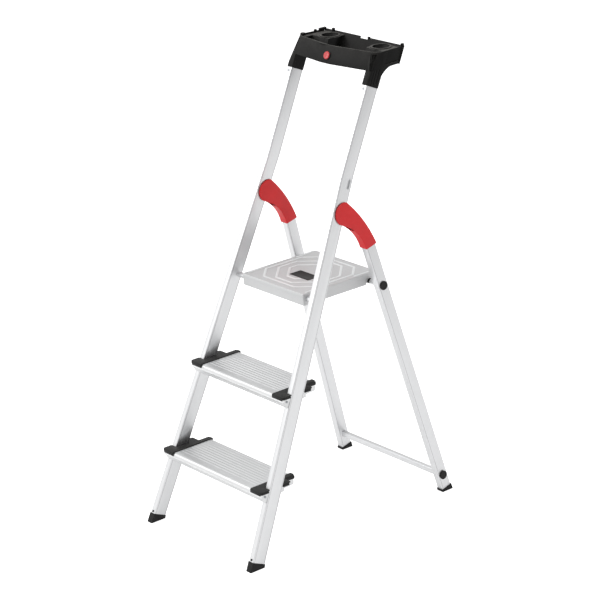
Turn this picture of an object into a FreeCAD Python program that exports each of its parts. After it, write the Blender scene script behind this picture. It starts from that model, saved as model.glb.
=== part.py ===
"""Folding aluminium step stool with two deep steps, a platform, a safety rail and a tool tray.

Frame: millimetres, +Z up, +X to the right of a person who climbs it, -Y the climbing side.
The origin is on the floor, in the middle of the footprint. The stool stands open at rest.
"""
import FreeCAD, Part
import Sketcher
import math
import os

Vector = FreeCAD.Vector
doc = FreeCAD.newDocument("StepStool")

# ---------------------------------------------------------------- driving dimensions
SIZES = {
    "first_rise": 197, "step_pitch": 225,
    "stile_wide": 17.6, "stile_deep": 43.4, "stile_wall": 1.6,
    "stile_half": 217.5, "stile_splay": 0.068, "stile_rake": 0.43826, "stile_foot_front": -354.2,
    "bend_height": 932, "rail_top": 1155.6, "stile_bottom": 4,
    "leg_wide": 20, "leg_deep": 32.9, "leg_wall": 1.6,
    "leg_half": 214.5, "leg_splay": 0.063, "leg_rake": 0.27375, "leg_foot_front": 319.3,
    "pivot_back": 45.7, "pivot_height": 845.8, "pin_radius": 5, "running_fit": 0.05,
    "plate_thick": 1.6, "cheek_thick": 2,
    "step_front": -27.5, "step_back": 100.5,
    "cap_inset": 44, "cap_thick": 1.8, "cap_edge": 6, "cap_web_back": 70, "cap_strip_back": 105,
    "cap_strip_out": 27, "cap_proud": 1.5,
    "deck_half": 123, "deck_front": -61.5, "deck_back": 189.5, "deck_skirt": 31, "sheet_thick": 2,
    "hinge_back": -46, "hinge_height": 632, "rod_radius": 4, "sleeve_radius": 7,
    "rest_back": 164.7, "rest_height": 624.5, "rest_bush_radius": 7, "rest_gap": 0.4,
    "bar_back": 322.3, "bar_height": 50, "bar_deep": 13, "bar_high": 15,
    "bolt_radius": 4, "bolt_cap_radius": 12, "bolt_cap_thick": 4,
    "tray_top": 1231, "tray_half": 157, "tray_back": 287, "tray_bow": 18, "tray_wall": 3,
    "cup_across": 98.5, "cup_back": 254, "cup_radius": 22, "cup_deep": 33, "badge_radius": 9,
    "foot_proud": 1.1, "front_foot_high": 26.3, "rear_foot_high": 11,
}
sheet = doc.addObject("Spreadsheet::Sheet", "Sizes")
for row, (alias, value) in enumerate(SIZES.items(), start=1):
    sheet.set(f"A{row}", alias)
    sheet.set(f"B{row}", str(value))
    sheet.setAlias(f"B{row}", alias)
doc.recompute()

STEPS = {"lower": "Sizes.first_rise", "upper": "Sizes.first_rise + Sizes.step_pitch"}
PLATFORM_TOP = "(Sizes.first_rise + 2 * Sizes.step_pitch)"
PARTS = {}
SIDE_PLANE = FreeCAD.Rotation(Vector(1, 1, 1), 120)      # sketch x, y lie along Y, Z
ALONG_X = FreeCAD.Rotation(Vector(0, 1, 0), 90)          # a cylinder's axis along X


def size(alias):
    """The value of one sheet cell."""
    return float(sheet.get(alias))


def value(expression):
    """The number an expression of sheet cells comes to, worked out in a spare cell."""
    sheet.set("D1", "=" + str(expression).replace("Sizes.", ""))
    sheet.recompute()
    return float(sheet.get("D1"))


def bind(thing, **expressions):
    """Bind properties of an object to sheet expressions (double underscore for a dot)."""
    for key, expression in expressions.items():
        thing.setExpression(key.replace("__", "."), str(expression))


def place(thing, at, rotation=FreeCAD.Rotation()):
    """Turn an object and bind where its origin stands."""
    thing.Placement = FreeCAD.Placement(Vector(), rotation)
    for axis, expression in zip("xyz", at):
        thing.setExpression(f"Placement.Base.{axis}", str(expression))
    return thing


def box(name, sizes, at):
    thing = doc.addObject("Part::Box", name)
    bind(thing, Length=sizes[0], Width=sizes[1], Height=sizes[2])
    return place(thing, at)


def rod(name, radius, length, at, rotation=ALONG_X):
    thing = doc.addObject("Part::Cylinder", name)
    bind(thing, Radius=radius, Height=length)
    return place(thing, at, rotation)


def outline(name, points, at, rotation=FreeCAD.Rotation()):
    """A closed straight-sided sketch whose every corner is bound to the sheet."""
    sketch = doc.addObject("Sketcher::SketchObject", name)
    place(sketch, at, rotation)
    corners = [Vector(value(x), value(y), 0) for x, y in points]
    count = len(corners)
    for index in range(count):
        sketch.addGeometry(Part.LineSegment(corners[index], corners[(index + 1) % count]))
    for index in range(count):
        sketch.addConstraint(Sketcher.Constraint("Coincident", index, 2, (index + 1) % count, 1))
    for index, (x, y) in enumerate(points):
        for kind, expression, number in (("DistanceX", x, corners[index].x),
                                         ("DistanceY", y, corners[index].y)):
            row = sketch.addConstraint(Sketcher.Constraint(kind, -1, 1, index, 1, number))
            sketch.setExpression(f"Constraints[{row}]", str(expression))
    return sketch


def extrude(name, base, length, direction=None):
    """Push a closed outline along its normal, or along a leaning direction."""
    thing = doc.addObject("Part::Extrusion", name)
    thing.Base = base
    thing.Solid = True
    if direction is None:
        thing.DirMode = "Normal"
    else:
        thing.DirMode = "Custom"
        thing.Dir = direction
    thing.setExpression("LengthFwd", str(length))
    return thing


def cut(name, base, *tools):
    for index, tool in enumerate(tools):
        thing = doc.addObject("Part::Cut", name if index == len(tools) - 1 else f"{name}_less{index}")
        thing.Base, thing.Tool = base, tool
        base = thing
    return base


def fuse(name, *shapes):
    thing = doc.addObject("Part::MultiFuse", name)
    thing.Shapes = list(shapes)
    return thing


def group(name, *shapes):
    """Separate solids kept together in one node."""
    thing = doc.addObject("Part::Compound", name)
    thing.Links = list(shapes)
    return thing


def mirrored(name, source):
    """The left-hand twin of a right-hand piece."""
    thing = doc.addObject("Part::Mirroring", name)
    thing.Source = source
    thing.Normal = Vector(1, 0, 0)
    thing.Base = Vector(0, 0, 0)
    return thing


def made(name, thing):
    """Name an object as one of the stool's own parts."""
    thing.Label = name
    PARTS[name] = thing


# ---------------------------------------------------------------- leaning members
RAKE = math.degrees(math.atan2(1, size("stile_rake")))       # the stiles' slope above the floor
STILE_UP = Vector(-size("stile_splay"), size("stile_rake"), 1)
RAIL_UP = Vector(0, size("stile_rake"), 1)
LEG_UP = Vector(-size("leg_splay"), -size("leg_rake"), 1)
FACE_OUT = FreeCAD.Rotation(Vector(1, 0, 0), RAKE)           # a cylinder's axis square to the stile's front


def stile_outer(height):
    return f"(Sizes.stile_half - Sizes.stile_splay * ({height}))"


def stile_front(height):
    return f"(Sizes.stile_foot_front + Sizes.stile_rake * ({height}))"


def leg_outer(height):
    return f"(Sizes.leg_half - Sizes.leg_splay * ({height}))"


def leg_front(height):
    return f"(Sizes.leg_foot_front - Sizes.leg_rake * ({height}))"


RAIL_OUTER = stile_outer("Sizes.bend_height")


def rectangle(x0, x1, y0, y1):
    return [(x0, y0), (x1, y0), (x1, y1), (x0, y1)]


def leaning(name, points, low, high, up):
    """A prism whose level outline slides along a leaning direction as it rises."""
    base = outline(name + "_section", points, ("0", "0", low))
    return extrude(name, base, f"(({high}) - ({low})) * {up.Length}", up)


def side_slab(name, points, start, width, back="0", height="0"):
    """A side-view outline pushed along +X from a given place."""
    base = outline(name + "_outline", points, (start, back, height), SIDE_PLANE)
    return extrude(name, base, width)


def above_square_cut(name, height, front, rake, low_x="60", wide="200", reach=90, tall=90):
    """A block over the plane that is square to a leaning member at its front edge."""
    points = [(f"{front} - 20", f"({height}) + 20 * ({rake})"),
              (f"{front} + {reach}", f"({height}) - {reach} * ({rake})"),
              (f"{front} + {reach}", f"({height}) + {tall}"), (f"{front} - 20", f"({height}) + {tall}")]
    return side_slab(name, points, low_x, wide)


# ---------------------------------------------------------------- front frame
def stile_prism(name, inset, low, high):
    """The bent stile's outline, shrunk by the inset: splayed below the bend, upright above it."""
    def section(height):
        outer = stile_outer(height)
        front = stile_front(height)
        return rectangle(f"{outer} - Sizes.stile_wide + {inset}", f"{outer} - {inset}",
                         f"{front} + {inset}", f"{front} + Sizes.stile_deep - {inset}")
    lower = leaning(name + "_splayed", section(low), low, "Sizes.bend_height", STILE_UP)
    upper = leaning(name + "_upright", section("Sizes.bend_height"), "Sizes.bend_height", high, RAIL_UP)
    return fuse(name, lower, upper)


PIVOT_ACROSS = f"({stile_outer('Sizes.pivot_height')} - Sizes.stile_wide / 2)"
RIVET_HEIGHT = "(Sizes.rail_top - 9)"
RIVET_ACROSS = f"({RAIL_OUTER} - Sizes.stile_wide / 2)"
NUB_HEIGHT = "(Sizes.front_foot_high + 3)"
NUB_ACROSS = f"({stile_outer(NUB_HEIGHT)} - Sizes.stile_wide / 2)"


def face_stud(name, radius, across, height, proud, deep):
    """A short cylinder square to the stile's front face: so much proud and so much deep."""
    lean = math.sin(math.radians(RAKE))
    drop = math.cos(math.radians(RAKE))
    back = f"{stile_front(height)} + {deep} * {lean}"
    return rod(name, radius, f"{proud} + {deep}", (across, back, f"({height}) - {deep} * {drop}"), FACE_OUT)


def front_stile():
    solid = stile_prism("stile_outside", "0", "Sizes.stile_bottom", "Sizes.rail_top + 30")
    hollow = stile_prism("stile_inside", "Sizes.stile_wall", "Sizes.stile_bottom", "Sizes.rail_top + 30")
    top = above_square_cut("stile_top_cut", "Sizes.rail_top", stile_front("Sizes.rail_top"), "Sizes.stile_rake")
    pin = rod("stile_pin_hole", "Sizes.pin_radius", "60",
              (f"{PIVOT_ACROSS} - 30", "Sizes.pivot_back", "Sizes.pivot_height"))
    axle = rod("stile_rod_hole", "Sizes.rod_radius", "20",
               (f"{stile_outer('Sizes.hinge_height')} - Sizes.stile_wide - 8", "Sizes.hinge_back",
                "Sizes.hinge_height"))
    nub = face_stud("stile_nub_hole", "3", NUB_ACROSS, NUB_HEIGHT, "5", "5")
    rivet = face_stud("stile_rivet_hole", "2", RIVET_ACROSS, RIVET_HEIGHT, "5", "5")
    return cut("front_stile_right", solid, hollow, top, pin, axle, nub, rivet)


def front_foot(stile):
    """A moulded boot round the stile's end, with a plug inside it and a snap nub in front."""
    outer, front = stile_outer("0"), stile_front("0")
    boot = leaning("front_boot", rectangle(
        f"{outer} - Sizes.stile_wide - Sizes.foot_proud", f"{outer} + Sizes.foot_proud",
        f"{front} - Sizes.foot_proud", f"{front} + Sizes.stile_deep + Sizes.foot_proud"), "0", "40", STILE_UP)
    top = above_square_cut("front_boot_cut", "Sizes.front_foot_high - 2", stile_front("Sizes.front_foot_high"),
                           "Sizes.stile_rake")
    plug = leaning("front_plug", rectangle(
        f"{outer} - Sizes.stile_wide + Sizes.stile_wall", f"{outer} - Sizes.stile_wall",
        f"{front} + Sizes.stile_wall", f"{front} + Sizes.stile_deep - Sizes.stile_wall"), "0", "46", STILE_UP)
    nub = face_stud("front_nub", "3", NUB_ACROSS, NUB_HEIGHT, "1.6", "4")
    blank = fuse("front_foot_blank", cut("front_boot_trimmed", boot, top), plug, nub)
    return cut("front_foot_right", blank, stile)


# The step's section: (back from the stile's front face, up from the tread).
STEP_OUTSIDE = [(-20, 0), (-25, -1.5), (-27.5, -6), (-27, -12), (-15, -31), (-8, -31),
                (97, -24), (100.5, -20.5), (100.5, -3), (98, 0)]
STEP_NOSE_HOLLOW = [(-18, -2.5), (-23.5, -4.5), (-24.5, -11), (-14, -28.5), (-9, -28.5), (-3, -2.5)]
STEP_FRONT_HOLLOW = [(0, -2.5), (47, -2.5), (47, -25), (-6, -28)]
STEP_BACK_HOLLOW = [(49, -2.5), (97.8, -2.5), (98, -20.5), (95, -21.6), (49, -24.8)]
NOSE_BOSS = 26                   # solid ends of the nose, which take the screws
SCREW_BACK, SCREW_DOWN = -16.5, -13


def step(which, tread):
    """One extruded step: its nose runs in front of both stiles, the rest lies between them."""
    front, half = stile_front(tread), f"({stile_outer(tread)} - 0.5)"

    def run(name, points, half_length):
        shifted = [(f"{back}", f"{up}") for back, up in points]
        return side_slab(f"{which}_{name}", shifted, f"-({half_length})", f"2 * ({half_length})", front, tread)
    low = f"({tread} - 40)"
    clear = [leaning(f"{which}_stile_room", rectangle(
        f"{stile_outer(low)} - Sizes.stile_wide", f"{stile_outer(low)} + 30",
        stile_front(low), f"{stile_front(low)} + 200"), low, f"({tread} + 12)", STILE_UP)]
    clear.append(mirrored(f"{which}_stile_room_left", clear[0]))
    clear.append(box(f"{which}_corner_room", ("80", "80", "60"),
                     (f"{stile_outer(tread)} - Sizes.cap_strip_out", f"{front} + Sizes.cap_web_back - 10",
                      f"{tread} - 40")))
    clear.append(mirrored(f"{which}_corner_room_left", clear[2]))
    hole = rod(f"{which}_screw_hole", "2", f"2 * {half} + 4",
               (f"-{half} - 2", f"{front} + {SCREW_BACK}", f"{tread} + {SCREW_DOWN}"))
    return cut(f"{which}_step", run("outside", STEP_OUTSIDE, half),
               run("nose_hollow", STEP_NOSE_HOLLOW, f"{half} - {NOSE_BOSS}"),
               run("front_hollow", STEP_FRONT_HOLLOW, half), run("back_hollow", STEP_BACK_HOLLOW, half),
               hole, *clear)


def step_cap(which, tread):
    """The moulded end cap: a plate round the stile, a web and a strip behind it and lips in front."""
    outer, front = stile_outer(tread), stile_front(tread)
    inner = f"{outer} - Sizes.cap_inset"
    edge = f"{outer} + Sizes.cap_proud"
    lip = f"{front} + Sizes.step_front - Sizes.cap_proud"
    slot = f"{outer} - Sizes.stile_wide - 0.3"
    behind = f"{front} + Sizes.stile_deep + 0.8"
    web_back = f"{front} + Sizes.cap_web_back"
    strip_back = f"{front} + Sizes.cap_strip_back"
    strip_out = f"{outer} - Sizes.cap_strip_out"
    plate = extrude(f"{which}_cap_plate", outline(f"{which}_cap_plan", [
        (inner, lip), (f"{edge} - 5", lip), (edge, f"{lip} + 5"), (edge, f"{front} - 0.6"),
        (slot, f"{front} - 0.6"), (slot, behind), (f"{outer} + 1", behind), (f"{outer} + 1", f"{web_back} - 6"),
        (f"{outer} - 4", web_back), (strip_out, web_back), (strip_out, f"{strip_back} - 5"),
        (f"{strip_out} - 5", strip_back), (inner, strip_back)], ("0", "0", tread)), "Sizes.cap_thick")
    under = f"{tread} - Sizes.cap_edge"
    web = box(f"{which}_cap_web", ("Sizes.stile_wide + 0.8", "Sizes.cap_web_back - Sizes.stile_deep - 6.8",
                                   "Sizes.cap_edge"), (f"{outer} - Sizes.stile_wide + 0.5", behind, under))
    tip = box(f"{which}_cap_tip", ("Sizes.cap_inset - Sizes.cap_strip_out - 5",
                                   "Sizes.cap_strip_back - Sizes.step_back - 0.1", "Sizes.cap_edge"),
              (inner, f"{front} + Sizes.step_back + 0.1", under))
    nose = box(f"{which}_cap_lip", ("Sizes.cap_inset + Sizes.cap_proud - 5", "Sizes.cap_proud - 0.1", "9"),
               (inner, lip, f"{tread} - 9"))
    end = box(f"{which}_cap_end", ("Sizes.cap_proud + 0.4", "-Sizes.step_front + Sizes.cap_proud - 8.5",
                                   "Sizes.cap_edge"), (f"{outer} - 0.4", f"{lip} + 5", under))
    return fuse(f"{which}_step_cap_right", plate, web, tip, nose, end)


def step_screw(which, tread):
    outer, front = stile_outer(tread), stile_front(tread)
    at = (f"{outer} - 18", f"{front} + {SCREW_BACK}", f"{tread} + {SCREW_DOWN}")
    shank = rod(f"{which}_screw_shank", "2", "18", at)
    head = rod(f"{which}_screw_head", "3.2", "1.4", (f"{outer} - 0.5", at[1], at[2]))
    return fuse(f"{which}_screw", shank, head)


# ---------------------------------------------------------------- tool tray
TRAY_LOW = "(Sizes.tray_top - 43)"
DECK_DOWN = 5                    # the tray's deck below its rim
BRACKET = [(187, 1141), (200.5, 1167), (211.6, 1178.6), (231.8, 1188.5), (246, 1192), (196, 1192), (172, 1150)]
# Small pegs on the rim: (X from, X to, Y from, Y to, height over the rim).
PEGS = [(-153, -139, 186, 198, 6), (-157, -151, 248, 255, 3), (-157, -148, 262, 287, 4),
        (-122, -114, 281, 287, 6), (142, 152, 280, 287, 6), (16, 24, 282, 287, 3)]
BOW_FACETS = 9


def bowed_plan(height, inset):
    """The tray seen from above: bowed in front, straight at the sides and back."""
    front = stile_front(height)
    points = []
    for index in range(BOW_FACETS + 1):
        share = 2 * index / BOW_FACETS - 1
        points.append((f"(Sizes.tray_half - {inset}) * {share:.4f}",
                       f"{front} + {inset} - Sizes.tray_bow * {1 - share ** 2:.4f}"))
    back = f"{front} + Sizes.tray_back - {stile_front('Sizes.tray_top')} - {inset}"
    return points + [(f"Sizes.tray_half - {inset}", back), (f"-(Sizes.tray_half - {inset})", back)]


def cup_round(sign, radius, height):
    """A many-sided circle for a cup, slid forward by the rail's lean at its height."""
    middle = f"(Sizes.cup_back - Sizes.stile_rake * (Sizes.tray_top - {DECK_DOWN} - {height}))"
    angles = [2 * math.pi * index / 32 for index in range(32)]
    return [(f"{sign} * Sizes.cup_across + {radius} * {math.cos(angle):.5f}",
             f"{middle} + {radius} * {math.sin(angle):.5f}") for angle in angles]


def tray():
    outer = leaning("tray_outside", bowed_plan(TRAY_LOW, "0"), TRAY_LOW, "Sizes.tray_top", RAIL_UP)
    deck = f"(Sizes.tray_top - {DECK_DOWN})"
    floor = f"({TRAY_LOW} + Sizes.tray_wall)"
    tub = leaning("tray_tub", bowed_plan(floor, "Sizes.tray_wall"), floor, "(Sizes.tray_top + 4)", RAIL_UP)
    dip = box("tray_dip", ("29", "20", "10"), ("-13", "Sizes.tray_back - 12", deck))
    islands, cuts, rings = [], [dip], []
    for side, sign in (("right", "1"), ("left", "-1")):
        def column(name, radius, low, high):
            return leaning(f"tray_{name}_{side}", cup_round(sign, radius, low), low, high, RAIL_UP)

        def block(name, inner, outer, front, back, low, high):
            corners = rectangle(f"{sign} * {inner}", f"{sign} * {outer}",
                                f"{stile_front(low)} + {front}", f"{stile_front(low)} + {back}")
            return leaning(f"tray_{name}_{side}", corners, low, high, RAIL_UP)
        shelf = block("shelf", "(Sizes.cup_across - 26)", "Sizes.tray_half", 44, 103, f"({TRAY_LOW} + 1)", deck)
        post = column("post", "(Sizes.cup_radius + 9)", f"({TRAY_LOW} + 1)", deck)
        islands += [shelf, post]
        bay = block("bay", "(Sizes.cup_across - 23)", "(Sizes.tray_half - 22)", 47, 97, f"({TRAY_LOW} - 1)",
                    f"({deck} - Sizes.tray_wall)")
        wall = column("cup_wall", "(Sizes.cup_radius + Sizes.tray_wall)", f"({TRAY_LOW} - 5)", deck)
        cuts.append(cut(f"tray_bay_open_{side}", bay, wall))
        cuts.append(column("cup", "Sizes.cup_radius", f"({deck} - Sizes.cup_deep)", f"({deck} + 1)"))
        middle = (f"{sign} * Sizes.cup_across", "Sizes.cup_back")
        rim = rod(f"tray_ring_rim_{side}", "Sizes.cup_radius + 6", "3.5", (*middle, f"{deck} - 0.5"),
                  FreeCAD.Rotation())
        bore = rod(f"tray_ring_bore_{side}", "Sizes.cup_radius", "5", (*middle, f"{deck} - 1"),
                   FreeCAD.Rotation())
        rings.append(cut(f"tray_ring_{side}", rim, bore))
    cuts.insert(0, cut("tray_tub_open", tub, *islands))
    low = "(Sizes.rail_top - 40)"
    leg = leaning("tray_leg_long", rectangle(
        f"{RAIL_OUTER} - Sizes.stile_wide - 0.4", f"{RAIL_OUTER} + 0.4", f"{stile_front(low)} - 0.4",
        f"{stile_front(low)} + Sizes.stile_deep + 0.4"), low, deck, RAIL_UP)
    keep = above_square_cut("tray_leg_keep", "Sizes.rail_top", stile_front("Sizes.rail_top"),
                            "Sizes.stile_rake", tall=200, reach=140)
    trimmed = doc.addObject("Part::Common", "tray_leg_trimmed")
    trimmed.Base, trimmed.Tool = leg, keep
    bracket = side_slab("tray_bracket", [(str(y), str(z)) for y, z in BRACKET],
                        f"{RAIL_OUTER} - Sizes.stile_wide - 0.4", "Sizes.stile_wide + 0.8")
    spigot = leaning("tray_spigot", rectangle(
        f"{RAIL_OUTER} - Sizes.stile_wide + Sizes.stile_wall", f"{RAIL_OUTER} - Sizes.stile_wall",
        f"{stile_front('(Sizes.rail_top - 70)')} + Sizes.stile_wall",
        f"{stile_front('(Sizes.rail_top - 70)')} + Sizes.stile_deep - Sizes.stile_wall"),
        "(Sizes.rail_top - 70)", "(Sizes.rail_top + 10)", RAIL_UP)
    hole = face_stud("tray_rivet_hole", "2", RIVET_ACROSS, RIVET_HEIGHT, "4", "14")
    leg_right = cut("tray_leg_right", fuse("tray_leg_whole", trimmed, bracket, spigot), hole)
    legs = [leg_right, mirrored("tray_leg_left", leg_right)]
    pegs = [box(f"tray_peg_{index}", (str(x1 - x0), str(y1 - y0), str(up + 2)),
                (str(x0), str(y0), "Sizes.tray_top - 2"))
            for index, (x0, x1, y0, y1, up) in enumerate(PEGS)]
    return fuse("tool_tray", cut("tray_body", outer, *cuts), *rings, *legs, *pegs)


BADGE_HEIGHT = "(Sizes.tray_top - 24)"


def tray_badge():
    """A plain domed disc on the flat middle facet of the tray's front."""
    bow = f"Sizes.tray_bow * {1 - (1 / BOW_FACETS) ** 2:.4f}"
    return rod("tray_badge", "Sizes.badge_radius", "2.2",
               ("0", f"{stile_front(BADGE_HEIGHT)} - {bow}", BADGE_HEIGHT), FACE_OUT)


def tray_rivets():
    right = fuse("tray_rivet", face_stud("tray_rivet_shank", "2", RIVET_ACROSS, RIVET_HEIGHT, "0.5", "13"),
                 face_stud("tray_rivet_head", "3", RIVET_ACROSS, RIVET_HEIGHT, "1.3", "0"))
    return group("tray_rivets", right, mirrored("tray_rivet_left", right))


def pivot_pin():
    return rod("pivot_pin_right", "Sizes.pin_radius", "21.8",
               (f"{PIVOT_ACROSS} - 10.9", "Sizes.pivot_back", "Sizes.pivot_height"))


def pivot_bush():
    """The spacer tube inside the hollow stile, which the pin goes through."""
    at = (f"{PIVOT_ACROSS} - 6.6", "Sizes.pivot_back", "Sizes.pivot_height")
    return cut("pivot_bush_right", rod("pivot_bush_body", "Sizes.pin_radius + 2.5", "13.2", at),
               rod("pivot_bush_bore", "Sizes.pin_radius", "13.2", at))


def hinge_spacer():
    inner = f"{stile_outer('Sizes.hinge_height')} - Sizes.stile_wide - 0.5"
    at = ("Sizes.deck_half + 0.8", "Sizes.hinge_back", "Sizes.hinge_height")
    long = f"{inner} - Sizes.deck_half - 0.8"
    return cut("hinge_spacer_right", rod("hinge_spacer_body", "Sizes.sleeve_radius", long, at),
               rod("hinge_spacer_bore", "Sizes.rod_radius", long, at))


# ---------------------------------------------------------------- platform
RIDGES = [(106, 168), (89, 121), (64, 80)]      # half width, and reach across the cut corners
PLATE = (-24, 50, 17, 55)
NOTCH = [(-16, -14), (-6.8, 3.3), (0, 4), (7, 2.5), (32, 2.5), (32, -14)]


def octagon(name, half, reach, low, high):
    """An upright eight-sided block on the middle of the deck."""
    middle = "(Sizes.deck_front + Sizes.deck_back) / 2"
    side = reach - half
    corners = [(side, -half), (half, -side), (half, side), (side, half),
               (-side, half), (-half, side), (-half, -side), (-side, -half)]
    points = [(str(across), f"{middle} + {back}") for across, back in corners]
    return extrude(name, outline(name + "_plan", points, ("0", "0", low)), f"({high}) - ({low})")


def notches(name):
    """Room for both rest bushes: round above the bush, open below it and towards the front."""
    centre = ("Sizes.deck_half - 18", "Sizes.rest_back", "Sizes.rest_height")
    round_part = rod(name + "_round", "Sizes.rest_bush_radius + Sizes.rest_gap", "30", centre)
    open_part = side_slab(name + "_open", [(str(y), str(z)) for y, z in NOTCH], centre[0], "30",
                          centre[1], centre[2])
    right = fuse(name + "_right", round_part, open_part)
    return [right, mirrored(name + "_left", right)]


def platform_deck():
    low = f"({PLATFORM_TOP} - Sizes.deck_skirt)"

    def shell(name, inset, bottom, height):
        chamfer = 9
        half = f"(Sizes.deck_half - {inset})"
        front, back = f"(Sizes.deck_front + {inset})", f"(Sizes.deck_back - {inset})"
        points = [(f"-{half}", front), (half, front), (half, f"{back} - {chamfer}"),
                  (f"{half} - {chamfer}", back), (f"-{half} + {chamfer}", back),
                  (f"-{half}", f"{back} - {chamfer}")]
        return extrude(name, outline(name + "_plan", points, ("0", "0", bottom)), height)
    body = shell("deck_outside", "0", low, "Sizes.deck_skirt")
    hollow = shell("deck_hollow", "Sizes.sheet_thick", f"{low} - 1", "Sizes.deck_skirt + 1 - Sizes.sheet_thick")
    bore = rod("deck_tube_bore", "Sizes.sleeve_radius", "2 * Sizes.deck_half + 2",
               ("-Sizes.deck_half - 1", "Sizes.hinge_back", "Sizes.hinge_height"))
    pressed = cut("deck_pressed", body, hollow, bore, *notches("deck_notch"))
    x0, x1, y0, y1 = PLATE
    seat = box("deck_plate_seat", (f"{x1 - x0 + 6}", f"{y1 - y0 + 6}", "4"),
               (f"{x0 - 3}", f"{y0 - 3}", PLATFORM_TOP))
    ridges = []
    for index, (half, reach) in enumerate(RIDGES):
        ring = octagon(f"ridge_{index}", half, reach, f"{PLATFORM_TOP} - 0.5", f"{PLATFORM_TOP} + 0.9")
        room = octagon(f"ridge_room_{index}", half - 5, reach - 7, f"{PLATFORM_TOP} - 1", f"{PLATFORM_TOP} + 2")
        ridges.append(cut(f"ridge_ring_{index}", ring, room, seat))
    return fuse("platform_deck", pressed, *ridges)


def platform_plate():
    x0, x1, y0, y1 = PLATE
    return box("platform_plate", (f"{x1 - x0}", f"{y1 - y0}", "1"),
               (f"{x0}", f"{y0}", PLATFORM_TOP))


def hinge_tube():
    at = ("-Sizes.deck_half - 0.3", "Sizes.hinge_back", "Sizes.hinge_height")
    long = "2 * Sizes.deck_half + 0.6"
    return cut("platform_hinge_tube", rod("hinge_tube_body", "Sizes.sleeve_radius", long, at),
               rod("hinge_tube_bore", "Sizes.rod_radius + Sizes.running_fit", long, at))


def side_rail():
    """The stiffening angle inside the deck's side skirt."""
    low = f"{PLATFORM_TOP} - Sizes.deck_skirt + 1"
    long = "Sizes.deck_back - Sizes.deck_front - 16"
    outer = "Sizes.deck_half - Sizes.sheet_thick"
    web = box("side_rail_web", ("2", long, "Sizes.deck_skirt - Sizes.sheet_thick - 1"),
              (f"{outer} - 2", "Sizes.deck_front + 4", low))
    flange = box("side_rail_flange", ("12", long, "2"), (f"{outer} - 12", "Sizes.deck_front + 4", low))
    bore = rod("side_rail_bore", "Sizes.sleeve_radius", "30",
               ("Sizes.deck_half - 25", "Sizes.hinge_back", "Sizes.hinge_height"))
    return cut("platform_side_rail_right", fuse("side_rail_angle", web, flange), bore,
               notches("rail_notch")[0])


# ---------------------------------------------------------------- rear frame
LEG_SLANT = "sqrt(1 + Sizes.leg_rake ^ 2)"
LEG_OUT = FreeCAD.Rotation(Vector(0, 1, 0), 90 - math.degrees(math.atan(size("leg_splay"))))
KNUCKLE_PLANE = FreeCAD.Rotation(Vector(0, 1, 0), -math.degrees(math.atan(size("leg_splay")))) * SIDE_PLANE
KNUCKLE_RIVETS = [(790, 12), (830, 8)]
LEG_TOP = [(756, 33), (850, 7), (850, -20), (900, -20), (900, 80), (756, 80)]
BOLT_HEIGHT = "(Sizes.bar_height - 1)"


def leg_at(along, deep):
    """Side-view place of a point so far up the leg's front edge and so deep behind it."""
    return (f"Sizes.leg_foot_front + ({deep} - {along} * Sizes.leg_rake) / {LEG_SLANT}",
            f"({along} + {deep} * Sizes.leg_rake) / {LEG_SLANT}")


def leg_section(height, inset):
    outer, front = leg_outer(height), leg_front(height)
    return rectangle(f"{outer} - Sizes.leg_wide + {inset}", f"{outer} - {inset}",
                     f"{front} + {inset}", f"{front} + Sizes.leg_deep - {inset}")


def knuckle_rivet_rods(name, radius, half):
    rods = []
    for index, (along, deep) in enumerate(KNUCKLE_RIVETS):
        back, height = leg_at(along, deep)
        across = f"{leg_outer(height)} - Sizes.leg_wide / 2 - {half}"
        rods.append(rod(f"{name}_{index}", radius, f"2 * {half}", (across, back, height)))
    return rods


def rest_bolt_rod(name, radius, start, end):
    return rod(name, radius, f"({end}) - ({start})", (start, "Sizes.rest_back", "Sizes.rest_height"))


def bar_bolt_rod(name, radius, start, long, rotation=ALONG_X):
    return rod(name, radius, long, (start, "Sizes.bar_back", BOLT_HEIGHT), rotation)


def rear_leg():
    solid = leaning("leg_outside", leg_section("4", "0"), "4", "840", LEG_UP)
    hollow = leaning("leg_inside", leg_section("4", "Sizes.leg_wall"), "4", "840", LEG_UP)
    top = side_slab("leg_top_cut", [leg_at(along, deep) for along, deep in LEG_TOP], "100", "120")
    bolt = rest_bolt_rod("leg_rest_hole", "Sizes.bolt_radius", "140", "190")
    bar = bar_bolt_rod("leg_bar_hole", "Sizes.bolt_radius", f"{leg_outer(BOLT_HEIGHT)} - 30", "40")
    return cut("rear_leg_right", solid, hollow, top, bolt, bar, *knuckle_rivet_rods("leg_rivet_hole", "3", 20))


def rear_foot(leg):
    """A moulded boot with a small lip in front, plugged into the leg."""
    outer, front = leg_outer("0"), leg_front("0")
    boot = leaning("rear_boot", rectangle(
        f"{outer} - Sizes.leg_wide - 1.3", f"{outer} + 1.3", f"{front} - 2", f"{front} + Sizes.leg_deep + 2.3"),
        "0", "30", LEG_UP)
    top = above_square_cut("rear_boot_cut", "Sizes.rear_foot_high - 4", leg_front("Sizes.rear_foot_high"),
                           "-Sizes.leg_rake")
    plug = leaning("rear_plug", rectangle(
        f"{outer} - Sizes.leg_wide + Sizes.leg_wall", f"{outer} - Sizes.leg_wall",
        f"{front} + Sizes.leg_wall", f"{front} + Sizes.leg_deep - Sizes.leg_wall"), "0", "34", LEG_UP)
    blank = fuse("rear_foot_blank", cut("rear_boot_trimmed", boot, top), plug)
    return cut("rear_foot_right", blank, leg)


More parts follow.
